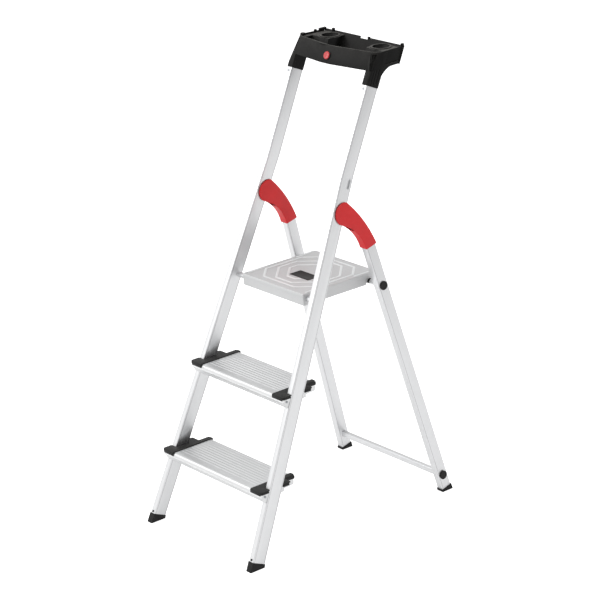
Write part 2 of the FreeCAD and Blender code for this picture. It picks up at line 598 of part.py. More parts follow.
def crossbar():
    back, low = "Sizes.bar_back - Sizes.bar_deep / 2", "Sizes.bar_height - Sizes.bar_high / 2"
    solid = box("bar_outside", ("2 * Sizes.leg_half", "Sizes.bar_deep", "Sizes.bar_high"),
                ("-Sizes.leg_half", back, low))
    hollow = box("bar_inside", ("2 * Sizes.leg_half", "Sizes.bar_deep - 3.2", "Sizes.bar_high - 3.2"),
                 ("-Sizes.leg_half", f"{back} + 1.6", f"{low} + 1.6"))
    room = leaning("bar_leg_room", rectangle(
        f"{leg_outer('0')} - Sizes.leg_wide", f"{leg_outer('0')} + 40", "Sizes.bar_back - 100",
        "Sizes.bar_back + 100"), "0", "90", Vector(-size("leg_splay"), 0, 1))
    return cut("rear_crossbar", solid, hollow, room, mirrored("bar_leg_room_left", room))


def crossbar_bolts():
    """A bolt through each leg with a plug in the bar's end to screw into."""
    outer = leg_outer(BOLT_HEIGHT)
    shank = bar_bolt_rod("bar_bolt_shank", "Sizes.bolt_radius", f"{outer} - 41", "40.6")
    plug = box("bar_bolt_plug", ("18", "Sizes.bar_deep - 3.2", "Sizes.bar_high - 3.2"),
               (f"{outer} - 40", "Sizes.bar_back - Sizes.bar_deep / 2 + 1.6",
                "Sizes.bar_height - Sizes.bar_high / 2 + 1.6"))
    right = fuse("bar_bolt", shank, plug)
    return group("crossbar_bolts", right, mirrored("bar_bolt_left", right))


def crossbar_bolt_caps():
    right = bar_bolt_rod("bar_bolt_cap", "Sizes.bolt_cap_radius", leg_outer(BOLT_HEIGHT),
                         "Sizes.bolt_cap_thick", LEG_OUT)
    return group("crossbar_bolt_caps", right, mirrored("bar_bolt_cap_left", right))


REST_OUTER = leg_outer("Sizes.rest_height")
REST_INNER = f"{REST_OUTER} - Sizes.leg_wide - 0.5"


def rest_bolt():
    return rest_bolt_rod("rest_bolt_right", "Sizes.bolt_radius", "108", f"{REST_OUTER} - 0.4")


def rest_bolt_caps():
    right = rod("rest_bolt_cap", "Sizes.bolt_cap_radius", "Sizes.bolt_cap_thick",
                (REST_OUTER, "Sizes.rest_back", "Sizes.rest_height"), LEG_OUT)
    return group("rest_bolt_caps", right, mirrored("rest_bolt_cap_left", right))


def rest_spacer():
    ends = ("Sizes.deck_half + 6.5", REST_INNER)
    return cut("rest_spacer_right", rest_bolt_rod("rest_spacer_body", "Sizes.sleeve_radius + 0.5", *ends),
               rest_bolt_rod("rest_spacer_bore", "Sizes.bolt_radius", *ends))


def rest_bush():
    ends = ("112", "Sizes.deck_half + 6.3")
    return cut("rest_bush_right", rest_bolt_rod("rest_bush_body", "Sizes.rest_bush_radius", *ends),
               rest_bolt_rod("rest_bush_bore", "Sizes.bolt_radius", *ends))


# Knuckle outlines are (back, up) from the pivot pin, in the leg's own leaning plane.
HEAD, HEAD_RADIUS = (8, -3.5), 30
SPINE = [(18.3, 24.7), (73, -40.4), (106.4, -103.4)]
THROAT = [(70.3, -113.3), (46.7, -66.8), (-1.8, -31.9)]
PLATE_HEAD_RADIUS = 19
SKIN = 2.5


def round_arc(centre, radius, start, end, steps):
    """Points along a circle from one angle to another, in degrees."""
    angles = [math.radians(start + (end - start) * index / steps) for index in range(steps + 1)]
    return [(centre[0] + radius * math.cos(angle), centre[1] + radius * math.sin(angle)) for angle in angles]


def three_point_arc(first, middle, last, steps, inset=0):
    """Points along the circle through three places, moved towards its centre by the inset."""
    edge = Part.Arc(*[Vector(y, z, 0) for y, z in (first, middle, last)]).toShape()
    centre = edge.Curve.Center
    points = edge.discretize(steps + 1)
    moved = [point + (centre - point).normalize() * inset for point in points]
    return [(point.x, point.y) for point in moved]


def knuckle_slab(name, points, start, width):
    """A plate in the knuckle's plane, from one distance off the mid-plane to another."""
    base = outline(name + "_outline", [(f"{y:.3f}", f"{z:.3f}") for y, z in points],
                   (f"{leg_outer('Sizes.pivot_height')} - Sizes.leg_wide / 2 + ({start})",
                    "Sizes.pivot_back", "Sizes.pivot_height"), KNUCKLE_PLANE)
    return extrude(name, base, width, Vector(1, 0, 0))


def link_plate(which, start):
    """The steel strap from the leg's flank to the pivot pin."""
    spine = three_point_arc(*SPINE, 6, inset=5)[2:]
    throat = three_point_arc(*THROAT, 5, inset=-5)[:-2]
    points = round_arc((0, 0), PLATE_HEAD_RADIUS, 250, 60, 10) + spine + throat
    plate = knuckle_slab(f"link_plate_{which}_blank", points, start, "Sizes.plate_thick")
    hole = rod(f"link_plate_{which}_hole", "Sizes.pin_radius + Sizes.running_fit", "80",
               (f"{PIVOT_ACROSS} - 40", "Sizes.pivot_back", "Sizes.pivot_height"))
    return cut(f"link_plate_{which}_right", plate, hole, *knuckle_rivet_rods(f"plate_{which}_rivet", "3", 20))


def knuckle_cover():
    """The moulded cover: two cheeks joined by a wall along the spine and one under the throat."""
    spine = three_point_arc(*SPINE, 9)
    throat = three_point_arc(*THROAT, 8)
    points = round_arc(HEAD, HEAD_RADIUS, 251, 70, 12) + spine[1:] + throat[:-1]
    half = "(Sizes.leg_wide / 2 + Sizes.plate_thick)"
    inner_spine = three_point_arc(*SPINE, 9, inset=SKIN)
    inner_throat = three_point_arc(*THROAT, 8, inset=-SKIN)
    back_wall = spine[1:] + inner_spine[:0:-1]
    front_wall = throat[:5] + inner_throat[4::-1]
    wide = f"2 * {half} + 0.4"
    pieces = [knuckle_slab("cover_cheek_out", points, half, "Sizes.cheek_thick"),
              knuckle_slab("cover_cheek_in", points, f"-{half} - Sizes.cheek_thick", "Sizes.cheek_thick"),
              knuckle_slab("cover_spine", back_wall, f"-{half} - 0.2", wide),
              knuckle_slab("cover_throat", front_wall, f"-{half} - 0.2", wide)]
    return fuse("knuckle_cover_right", *pieces)


def knuckle_rivets():
    right = knuckle_rivet_rods("knuckle_rivet", "3", 11.4)
    left = [mirrored(f"knuckle_rivet_left_{index}", one) for index, one in enumerate(right)]
    return group("knuckle_rivets", *right, *left)


# ---------------------------------------------------------------- assembly
def pair(name, right):
    """A right-hand part and its mirror image, under their own names."""
    made(f"{name}_right", right)
    made(f"{name}_left", mirrored(f"{name}_left", right))


STILE = front_stile()
pair("front_stile", STILE)
pair("front_foot", front_foot(STILE))
SCREWS = []
for WHICH, TREAD in STEPS.items():
    made(f"{WHICH}_step", step(WHICH, TREAD))
    pair(f"{WHICH}_step_cap", step_cap(WHICH, TREAD))
    SCREWS.append(step_screw(WHICH, TREAD))
made("step_screws", group("step_screws", *SCREWS,
                          *[mirrored(f"step_screw_left_{index}", one) for index, one in enumerate(SCREWS)]))
made("tool_tray", tray())
made("tray_badge", tray_badge())
made("tray_rivets", tray_rivets())
made("hinge_rod", rod("hinge_rod", "Sizes.rod_radius", "336",
                      ("-168", "Sizes.hinge_back", "Sizes.hinge_height")))
pair("hinge_spacer", hinge_spacer())
pair("pivot_pin", pivot_pin())
pair("pivot_bush", pivot_bush())

made("platform_deck", platform_deck())
made("platform_plate", platform_plate())
made("platform_hinge_tube", hinge_tube())
pair("platform_side_rail", side_rail())

LEG = rear_leg()
pair("rear_leg", LEG)
pair("rear_foot", rear_foot(LEG))
made("rear_crossbar", crossbar())
made("crossbar_bolts", crossbar_bolts())
made("crossbar_bolt_caps", crossbar_bolt_caps())
pair("rest_bolt", rest_bolt())
made("rest_bolt_caps", rest_bolt_caps())
pair("rest_spacer", rest_spacer())
pair("rest_bush", rest_bush())
pair("link_plate_outer", link_plate("outer", "Sizes.leg_wide / 2"))
pair("link_plate_inner", link_plate("inner", "-Sizes.leg_wide / 2 - Sizes.plate_thick"))
pair("knuckle_cover", knuckle_cover())
made("knuckle_rivets", knuckle_rivets())
sheet.clear("D1")

doc.recompute()
for item in doc.Objects:
    if "Invalid" in item.State or "Error" in item.State:
        raise RuntimeError(f"{item.Label} did not rebuild: {item.State}")
os.makedirs("parts", exist_ok=True)
for name, item in PARTS.items():
    if item.Shape.isNull() or not item.Shape.isValid():
        raise RuntimeError(f"{name} is not a valid solid")
    item.Shape.exportStep(f"parts/{name}.step")
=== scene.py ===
"""Looks of the folding aluminium step stool: bevelled profiles, moulded parts and their finishes.

Every place is in the stool's own frame: +X to the climber's right, -Y the climbing side, +Z up,
origin on the floor in the middle of the footprint. Sizes are in millimetres until `metres`.
"""

import logging
import math
from dataclasses import dataclass
from enum import Enum
from typing import Sequence

import bpy
from bpy.types import Material, Object
from mathutils import Matrix, Vector


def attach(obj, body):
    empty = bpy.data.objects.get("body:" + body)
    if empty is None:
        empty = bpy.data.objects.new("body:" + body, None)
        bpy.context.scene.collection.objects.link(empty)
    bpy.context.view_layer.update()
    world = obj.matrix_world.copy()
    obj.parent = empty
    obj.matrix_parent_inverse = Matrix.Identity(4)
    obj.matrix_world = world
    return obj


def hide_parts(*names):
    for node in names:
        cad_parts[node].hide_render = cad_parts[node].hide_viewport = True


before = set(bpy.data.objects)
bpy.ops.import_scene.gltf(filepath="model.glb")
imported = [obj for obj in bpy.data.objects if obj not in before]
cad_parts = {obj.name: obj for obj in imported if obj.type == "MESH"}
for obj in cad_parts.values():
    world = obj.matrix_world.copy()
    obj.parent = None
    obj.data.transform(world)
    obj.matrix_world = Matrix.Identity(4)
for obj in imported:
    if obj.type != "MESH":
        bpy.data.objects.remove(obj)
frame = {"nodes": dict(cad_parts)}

LOG = logging.getLogger("step_stool")
Pair = tuple[float, float]
Triple = tuple[float, float, float]


class Body(Enum):
    """The three parts that move against each other."""

    FRONT = "front_frame"
    REAR = "rear_frame"
    PLATFORM = "platform"


class Slot(Enum):
    """The record's material slots."""

    ALUMINIUM = "bare_aluminium"
    BLACK = "black_plastic"
    RUBBER = "foot_rubber"
    RED = "red_plastic"


# ---------------------------------------------------------------- stance
@dataclass(frozen=True)
class Stance:
    """Where the leaning stiles and legs stand."""

    stile_half: float = 217.5
    stile_splay: float = 0.068
    stile_rake: float = 0.43826
    stile_foot: float = -354.2
    stile_wide: float = 17.6
    stile_deep: float = 43.4
    bend: float = 932.0
    rail_top: float = 1155.6
    leg_half: float = 214.5
    leg_splay: float = 0.063
    leg_rake: float = 0.27375
    leg_foot: float = 319.3
    leg_wide: float = 20.0
    leg_deep: float = 32.9
    pivot_back: float = 45.7
    pivot_height: float = 845.8

    def stile_outer(self, height: float) -> float:
        """Half the width over both stiles at a height."""
        return self.stile_half - self.stile_splay * min(height, self.bend)

    def stile_front(self, height: float) -> float:
        """The stiles' front edge at a height."""
        return self.stile_foot + self.stile_rake * height

    def leg_outer(self, height: float) -> float:
        """Half the width over both rear legs at a height."""
        return self.leg_half - self.leg_splay * height

    def leg_front(self, height: float) -> float:
        """The rear legs' front edge at a height."""
        return self.leg_foot - self.leg_rake * height

    def on_leg(self, along: float, deep: float) -> Pair:
        """Side-view place of a point up the leg's front edge and behind it.

        Args:
            along: distance up the front edge.
            deep: distance behind it.

        Returns:
            The place as (back, height).
        """
        slant = math.hypot(1, self.leg_rake)
        return (self.leg_foot + (deep - along * self.leg_rake) / slant,
                (along + deep * self.leg_rake) / slant)


STANCE = Stance()
STILE_UP = Vector((-STANCE.stile_splay, STANCE.stile_rake, 1))
RAIL_UP = Vector((0, STANCE.stile_rake, 1))
LEG_UP = Vector((-STANCE.leg_splay, -STANCE.leg_rake, 1))
STILE_NORMAL = Vector((0, -1, STANCE.stile_rake)).normalized()      # out of a stile's front face
STEPS = {"lower": 197.0, "upper": 422.0}
PLATFORM_TOP = 647.0


# ---------------------------------------------------------------- bench work
def metres(across: float, back: float, up: float) -> Vector:
    """A place in millimetres as a vector in metres."""
    return Vector((across, back, up)) * 0.001


def focus(obj: Object, *others: Object) -> None:
    """Select one object, and any others with it, and nothing else.

    Args:
        obj: the piece to work on.
        others: the other objects.
    """
    bpy.ops.object.select_all(action="DESELECT")
    for each in (*others, obj):
        each.select_set(True)
    bpy.context.view_layer.objects.active = obj


def drawn(name: str, points: Sequence[Vector], *pushes: Vector) -> Object:
    """Draw a closed outline point by point, fill it and push it out into a solid.

    Args:
        name: the piece's name.
        points: the outline's corners in metres, in order.
        pushes: one or more moves of the filled face, each leaving a wall behind it.

    Returns:
        The closed solid, with its faces pointing outwards.
    """
    bpy.ops.object.select_all(action="DESELECT")
    bpy.ops.mesh.primitive_plane_add(size=0.001)
    obj = bpy.context.object
    obj.name = name
    bpy.ops.object.mode_set(mode="EDIT")
    bpy.ops.mesh.select_mode(type="VERT")
    bpy.ops.mesh.select_all(action="SELECT")
    bpy.ops.mesh.merge(type="CENTER")
    bpy.ops.transform.translate(value=points[0])
    walk = [*points, points[0]]
    for here, there in zip(walk, walk[1:]):
        bpy.ops.mesh.extrude_vertices_move(TRANSFORM_OT_translate={"value": there - here})
    bpy.ops.mesh.select_all(action="SELECT")
    bpy.ops.mesh.remove_doubles(threshold=2e-5)
    bpy.ops.mesh.edge_face_add()
    for push in pushes:
        bpy.ops.mesh.extrude_region_move(TRANSFORM_OT_translate={"value": push})
    bpy.ops.mesh.select_all(action="SELECT")
    bpy.ops.mesh.normals_make_consistent(inside=False)
    bpy.ops.object.mode_set(mode="OBJECT")
    return obj


def modify(obj: Object, kind: str, **settings: object) -> Object:
    """Add a modifier with its settings and apply it.

    Args:
        obj: the piece to work on.
        kind: the modifier's type.
        settings: the modifier's own properties.

    Returns:
        The worked piece.
    """
    focus(obj)
    modifier = obj.modifiers.new(kind.title(), kind)
    for key, setting in settings.items():
        setattr(modifier, key, setting)
    bpy.ops.object.modifier_apply(modifier=modifier.name)
    return obj


def carve(obj: Object, *tools: Object, add: bool = False) -> Object:
    """Cut tools out of a solid, or weld them on, and clear the tools away.

    Args:
        obj: the solid to work on.
        tools: the solids that cut or are welded on.
        add: weld instead of cutting.

    Returns:
        The worked solid.
    """
    for tool in tools:
        modify(obj, "BOOLEAN", object=tool, operation="UNION" if add else "DIFFERENCE",
               solver="EXACT")
        bpy.data.objects.remove(tool, do_unlink=True)
    return obj


def eased(obj: Object, width: float, segments: int = 2, angle: float = 30) -> Object:
    """Round a solid's edges and shade it smooth between its sharp edges.

    Args:
        obj: the solid.
        width: the rounding in millimetres.
        segments: how many facets each rounding has.
        angle: the least angle, in degrees, at which an edge is rounded.

    Returns:
        The rounded solid.
    """
    modify(obj, "BEVEL", width=width * 0.001, segments=segments, limit_method="ANGLE",
           angle_limit=math.radians(angle), miter_outer="MITER_ARC")
    return smooth(obj)


def smooth(obj: Object, angle: float = 34) -> Object:
    """Shade smooth across edges flatter than the angle.

    Args:
        obj: the piece to work on.
        angle: the least sharp angle, in degrees.

    Returns:
        The shaded piece.
    """
    focus(obj)
    bpy.ops.object.shade_smooth_by_angle(angle=math.radians(angle))
    return obj


def twin(obj: Object, name: str) -> Object:
    """The left-hand copy of a right-hand piece, with its own mesh.

    Args:
        obj: the piece to work on.
        name: the piece's name.

    Returns:
        The copy.
    """
    focus(obj)
    bpy.ops.object.duplicate(linked=False)
    copy = bpy.context.object
    copy.name = name
    bpy.ops.object.mode_set(mode="EDIT")
    bpy.ops.mesh.select_all(action="SELECT")
    bpy.ops.transform.resize(value=(-1, 1, 1), center_override=(0, 0, 0))
    bpy.ops.mesh.flip_normals()
    bpy.ops.object.mode_set(mode="OBJECT")
    return copy


def joined(name: str, first: Object, *others: Object) -> Object:
    """Join separate solids into one named piece.

    Args:
        name: the piece's name.
        first: the first place or piece.
        others: the other objects.

    Returns:
        The joined piece.
    """
    focus(first, *others)
    bpy.ops.object.join()
    first.name = name
    return first


def rod(name: str, start: Vector, end: Vector, radius: float, sides: int = 48) -> Object:
    """A round bar between two places in metres, with a radius in millimetres.

    Args:
        name: the piece's name.
        start: where it starts.
        end: where it ends.
        radius: its radius in millimetres.
        sides: how many facets go round it.

    Returns:
        The bar.
    """
    axis = end - start
    bpy.ops.object.select_all(action="DESELECT")
    bpy.ops.mesh.primitive_cylinder_add(vertices=sides, radius=radius * 0.001, depth=axis.length,
                                        location=(start + end) / 2,
                                        rotation=axis.to_track_quat("Z", "Y").to_euler())
    obj = bpy.context.object
    obj.name = name
    bpy.ops.object.transform_apply(location=True, rotation=True, scale=True)
    return obj


def block(name: str, low: Triple, high: Triple) -> Object:
    """An upright block between two corners in millimetres."""
    corners = [(low[0], low[1]), (high[0], low[1]), (high[0], high[1]), (low[0], high[1])]
    return drawn(name, [metres(x, y, low[2]) for x, y in corners], metres(0, 0, high[2] - low[2]))


def leaning(name: str, corners: Sequence[Pair], low: float, high: float, up: Vector) -> Object:
    """A solid whose level outline slides along a leaning direction as it rises."""
    return drawn(name, [metres(x, y, low) for x, y in corners], up * (high - low) * 0.001)


def side_on(name: str, corners: Sequence[Pair], start: float, end: float) -> Object:
    """A side-view outline of (back, height) corners pushed along X from start to end."""
    return drawn(name, [metres(start, y, z) for y, z in corners], metres(end - start, 0, 0))


def rectangle(x0: float, x1: float, y0: float, y1: float) -> list[Pair]:
    """The four corners of a level rectangle."""
    return [(x0, y0), (x1, y0), (x1, y1), (x0, y1)]


def rounded(corners: Sequence[Triple], steps: int = 5) -> list[Pair]:
    """Round an outline's corners.

    Args:
        corners: each corner as (x, y, radius).
        steps: how many facets a rounded corner has.

    Returns:
        The outline with each rounded corner as a short curve.
    """
    points: list[Pair] = []
    for index, (x, y, radius) in enumerate(corners):
        if radius <= 0:
            points.append((x, y))
            continue
        corner = Vector((x, y))
        before = Vector(corners[index - 1][:2]) - corner
        after = Vector(corners[(index + 1) % len(corners)][:2]) - corner
        start, end = corner + before.normalized() * radius, corner + after.normalized() * radius
        for step in range(steps + 1):
            share = step / steps
            place = start * (1 - share) ** 2 + corner * 2 * share * (1 - share) + end * share ** 2
            points.append((place.x, place.y))
    return points


def arc(centre: Pair, radius: float, start: float, end: float, steps: int) -> list[Pair]:
    """Points along a circle from one angle to another, in degrees."""
    angles = [math.radians(start + (end - start) * step / steps) for step in range(steps + 1)]
    return [(centre[0] + radius * math.cos(turn),
             centre[1] + radius * math.sin(turn)) for turn in angles]


def arc_through(first: Pair, middle: Pair, last: Pair, steps: int, inset: float = 0) -> list[Pair]:
    """Points along the circle through three places, moved towards its centre by the inset.

    Args:
        first: the first place or piece.
        middle: a place between the ends.
        last: the last place.
        steps: how many facets the curve has.
        inset: how far it is set in.

    Returns:
        The points.
    """
    a, b, c = (Vector(place) for place in (first, middle, last))
    ab, ac = b - a, c - a
    cross = 2 * (ab.x * ac.y - ab.y * ac.x)
    centre = a + Vector((ac.y * ab.length_squared - ab.y * ac.length_squared,
                         ab.x * ac.length_squared - ac.x * ab.length_squared)) / cross
    begin, finish = (math.atan2((p - centre).y, (p - centre).x) for p in (a, c))
    sweep = (finish - begin + math.pi) % (2 * math.pi) - math.pi
    radius = (a - centre).length - inset
    return arc(tuple(centre), radius, math.degrees(begin), math.degrees(begin + sweep), steps)


# ---------------------------------------------------------------- finishes
class NodeBench:
    """A node tree with short calls to add and link its nodes."""

    def __init__(self, tree: bpy.types.NodeTree) -> None:
        """Start on a cleared tree."""
        self.tree = tree
        tree.nodes.clear()

    def add(self, kind: str, inputs: dict | None = None, **settings: object) -> bpy.types.Node:
        """Add a node.

        Args:
            kind: the node's type name.
            inputs: values or output sockets for its inputs, by name or number.
            settings: the node's own properties.

        Returns:
            The new node.
        """
        node = self.tree.nodes.new(kind)
        for key, setting in settings.items():
            setattr(node, key, setting)
        for key, given in (inputs or {}).items():
            if isinstance(given, bpy.types.NodeSocket):
                self.tree.links.new(given, node.inputs[key])
            else:
                node.inputs[key].default_value = given
        return node

    def maths(self, operation: str, first: object, second: object = 0.0, clamp: bool = False,
              third: object = 0.0) -> bpy.types.NodeSocket:
        """The result socket of one sum."""
        return self.add("ShaderNodeMath", {0: first, 1: second, 2: third}, operation=operation,
                        use_clamp=clamp).outputs[0]

    def vectors(self, operation: str, first: object, second: object) -> bpy.types.NodeSocket:
        """The result socket of one vector sum."""
        return self.add("ShaderNodeVectorMath", {0: first, 1: second},
                        operation=operation).outputs[0]


class Effects:
    """The shared surface effects, each a node group that is built once."""

    def __init__(self) -> None:
        """Build every group."""
        self.drawn_grain = self._drawn_grain()
        self.seam_line = self._seam_line()
        self.moulded_skin = self._moulded_skin()
        self.dust_and_top_light_group = self._dust_and_top_light_group()
        self.rubbed_tops = self._rubbed_tops()

    @staticmethod
    def _group(name: str, inputs: dict[str, tuple[str, object]], outputs: Sequence[str]
               ) -> tuple[bpy.types.NodeTree, NodeBench, bpy.types.Node, bpy.types.Node]:
        """A new group with named sockets, its bench and its two end nodes.

        Args:
            name: the piece's name.
            inputs: each input's type and default by name.
            outputs: the outputs' names.

        Returns:
            The group, its bench, its input node and its output node.
        """
        tree = bpy.data.node_groups.new(name, "ShaderNodeTree")
        for label, (kind, default) in inputs.items():
            socket = tree.interface.new_socket(name=label, in_out="INPUT", socket_type=kind)
            socket.default_value = default
        for label in outputs:
            tree.interface.new_socket(name=label, in_out="OUTPUT", socket_type="NodeSocketFloat")
        bench = NodeBench(tree)
        return tree, bench, bench.add("NodeGroupInput"), bench.add("NodeGroupOutput")

    def _drawn_grain(self) -> bpy.types.NodeTree:
        """Long fine streaks that follow a leaning drawn or rolled member, and faint clouds.

        Returns:
            The group.
        """
        tree, bench, given, out = self._group("Drawn grain", {
            "Lean": ("NodeSocketVector", (0, 0, 0)),
            "Stretch": ("NodeSocketVector", (900, 900, 6))},
                                              ("Streak", "Cloud"))
        place = bench.add("ShaderNodeTexCoord").outputs["Object"]
        height = bench.add("ShaderNodeSeparateXYZ", {0: place}).outputs["Z"]
        slide = bench.add("ShaderNodeVectorMath", {0: given.outputs["Lean"], "Scale": height},
                          operation="SCALE").outputs[0]
        upright = bench.vectors("SUBTRACT", place, slide)
        stretched = bench.vectors("MULTIPLY", upright, given.outputs["Stretch"])
        streak = bench.add("ShaderNodeTexNoise", {"Vector": stretched, "Scale": 1.0, "Detail": 4.0,
                                                  "Roughness": 0.65}).outputs["Fac"]
        cloud = bench.add("ShaderNodeTexNoise",
                          {"Vector": place, "Scale": 9.0, "Detail": 3.0}).outputs["Fac"]
        tree.links.new(streak, out.inputs["Streak"])
        tree.links.new(cloud, out.inputs["Cloud"])
        return tree

    def _seam_line(self) -> bpy.types.NodeTree:
        """A fine groove rolled along a leaning member at a set distance behind its front edge.

        Returns:
            The group.
        """
        tree, bench, given, out = self._group("Seam line", {
            "Rake": ("NodeSocketFloat", 0.0), "Start": ("NodeSocketFloat", 0.0),
            "Width": ("NodeSocketFloat", 0.0008)}, ("Mask",))
        place = bench.add("ShaderNodeSeparateXYZ",
                          {0: bench.add("ShaderNodeTexCoord").outputs["Object"]})
        shift = bench.maths("MULTIPLY", place.outputs["Z"], given.outputs["Rake"])
        depth = bench.maths("SUBTRACT", bench.maths("SUBTRACT", place.outputs["Y"], shift),
                            given.outputs["Start"])
        away = bench.maths("DIVIDE", bench.maths("ABSOLUTE", depth), given.outputs["Width"])
        tree.links.new(bench.maths("SUBTRACT", 1.0, away, clamp=True), out.inputs["Mask"])
        return tree

    def _moulded_skin(self) -> bpy.types.NodeTree:
        """The fine grain of a spark-eroded mould, with a slow change of tone.

        Returns:
            The group.
        """
        tree, bench, given, out = self._group("Moulded skin", {
            "Grain size": ("NodeSocketFloat", 1400.0)}, ("Grain", "Tone"))
        place = bench.add("ShaderNodeTexCoord").outputs["Object"]
        fine = bench.add("ShaderNodeTexNoise",
                         {"Vector": place, "Scale": given.outputs["Grain size"],
                          "Detail": 2.0}).outputs["Fac"]
        slow = bench.add("ShaderNodeTexNoise",
                         {"Vector": place, "Scale": 22.0, "Detail": 4.0}).outputs["Fac"]
        tree.links.new(fine, out.inputs["Grain"])
        tree.links.new(slow, out.inputs["Tone"])
        return tree

    def _rubbed_tops(self) -> bpy.types.NodeTree:
        """Parts above a level that shoes keep bright.

        Returns:
            The group.
        """
        tree, bench, given, out = self._group("Rubbed tops", {
            "Level": ("NodeSocketFloat", 10.0), "Blend": ("NodeSocketFloat", 0.0003)}, ("Mask",))
        height = bench.add("ShaderNodeSeparateXYZ",
                           {0: bench.add("ShaderNodeTexCoord").outputs["Object"]})
        above = bench.maths("SUBTRACT", height.outputs["Z"], given.outputs["Level"])
        tree.links.new(bench.maths("DIVIDE", above, given.outputs["Blend"], clamp=True),
                       out.inputs["Mask"])
        return tree

    def _dust_and_top_light_group(self) -> bpy.types.NodeTree:
        """A thin uneven pale layer on faces that look up: a real dusting, and painted light on the
        lit tops.

        Returns:
            The group.
        """
        # The mask pales faces that look up: a dusting and painted light on the lit tops together.
        tree, bench, given, out = self._group("Dust film and painted top light", {"Amount": ("NodeSocketFloat", 0.2)},
                                              ("Mask",))
        normal = bench.add("ShaderNodeNewGeometry").outputs["Normal"]
        upward = bench.maths("POWER", bench.maths("MAXIMUM", bench.add(
            "ShaderNodeSeparateXYZ", {0: normal}).outputs["Z"], 0.0), 3.0)
        place = bench.add("ShaderNodeTexCoord").outputs["Object"]
        patch = bench.add("ShaderNodeTexNoise",
                          {"Vector": place, "Scale": 60.0, "Detail": 5.0}).outputs["Fac"]
        dust_and_top_light_film = bench.maths("MULTIPLY", upward, patch)
        tree.links.new(bench.maths("MULTIPLY", dust_and_top_light_film, given.outputs["Amount"], clamp=True),
                       out.inputs["Mask"])
        return tree


@dataclass(frozen=True)
class Metal:
    """Bare drawn, rolled or plated metal."""

    name: str
    colour: Triple
    roughness: float
    lean: Triple = (0.0, 0.0, 0.0)
    stretch: Triple = (900.0, 900.0, 6.0)
    seams: tuple[float, ...] = ()
    streak_depth: float = 0.1
    rubbed_above: float = 10.0
    metallic: float = 1.0
    dark_share: float = 0.86
    # Painted shade in the rolled grooves.
    groove_shade_tone: Triple = (0.25, 0.25, 0.26)
    rubbed_tone: Triple = (0.91, 0.93, 0.935)
    bump_strength: float = 0.25
    bump_depth: float = 0.0004

    def build(self, effects: Effects) -> Material:
        """Make the material from the shared effects.

        Args:
            effects: the shared effects.

        Returns:
            The material.
        """
        material = bpy.data.materials.new(self.name)
        material.use_nodes = True
        bench = NodeBench(material.node_tree)
        grain = bench.add("ShaderNodeGroup", node_tree=effects.drawn_grain)
        grain.inputs["Lean"].default_value = self.lean
        grain.inputs["Stretch"].default_value = self.stretch
        streak, cloud = grain.outputs["Streak"], grain.outputs["Cloud"]
        dark = tuple(part * self.dark_share for part in self.colour)
        tone = bench.add("ShaderNodeMix", {0: streak, 6: (*dark, 1), 7: (*self.colour, 1)},
                         data_type="RGBA").outputs[2]
        height = bench.maths("MULTIPLY", streak, self.streak_depth)
        for start in self.seams:
            seam = bench.add("ShaderNodeGroup", node_tree=effects.seam_line)
            seam.inputs["Rake"].default_value = self.lean[1]
            seam.inputs["Start"].default_value = start
            mask = seam.outputs["Mask"]
            # The groove is painted dark as shade falling in it; the bump also sinks it.
            tone = bench.add("ShaderNodeMix", {0: mask, 6: tone, 7: (*self.groove_shade_tone, 1)},
                             data_type="RGBA").outputs[2]
            height = bench.maths("SUBTRACT", height, mask)
        rubbed = bench.add("ShaderNodeGroup", node_tree=effects.rubbed_tops)
        rubbed.inputs["Level"].default_value = self.rubbed_above
        tone = bench.add("ShaderNodeMix",
                         {0: rubbed.outputs["Mask"], 6: tone, 7: (*self.rubbed_tone, 1)},
                         data_type="RGBA").outputs[2]
        rough = bench.maths("ADD", bench.maths("MULTIPLY", streak, 0.16),
                            bench.maths("MULTIPLY", cloud, 0.14))
        rough = bench.maths("ADD", rough, self.roughness - 0.15, clamp=True)
        rough = bench.maths("SUBTRACT", rough,
                            bench.maths("MULTIPLY", rubbed.outputs["Mask"], 0.12), clamp=True)
        bump = bench.add("ShaderNodeBump",
                         {"Height": height, "Strength": self.bump_strength,
                          "Distance": self.bump_depth})
        shader = bench.add("ShaderNodeBsdfPrincipled", {
            "Base Color": tone, "Metallic": self.metallic, "Roughness": rough,
            "Normal": bump.outputs[0]})
        bench.add("ShaderNodeOutputMaterial", {"Surface": shader.outputs[0]})
        return material


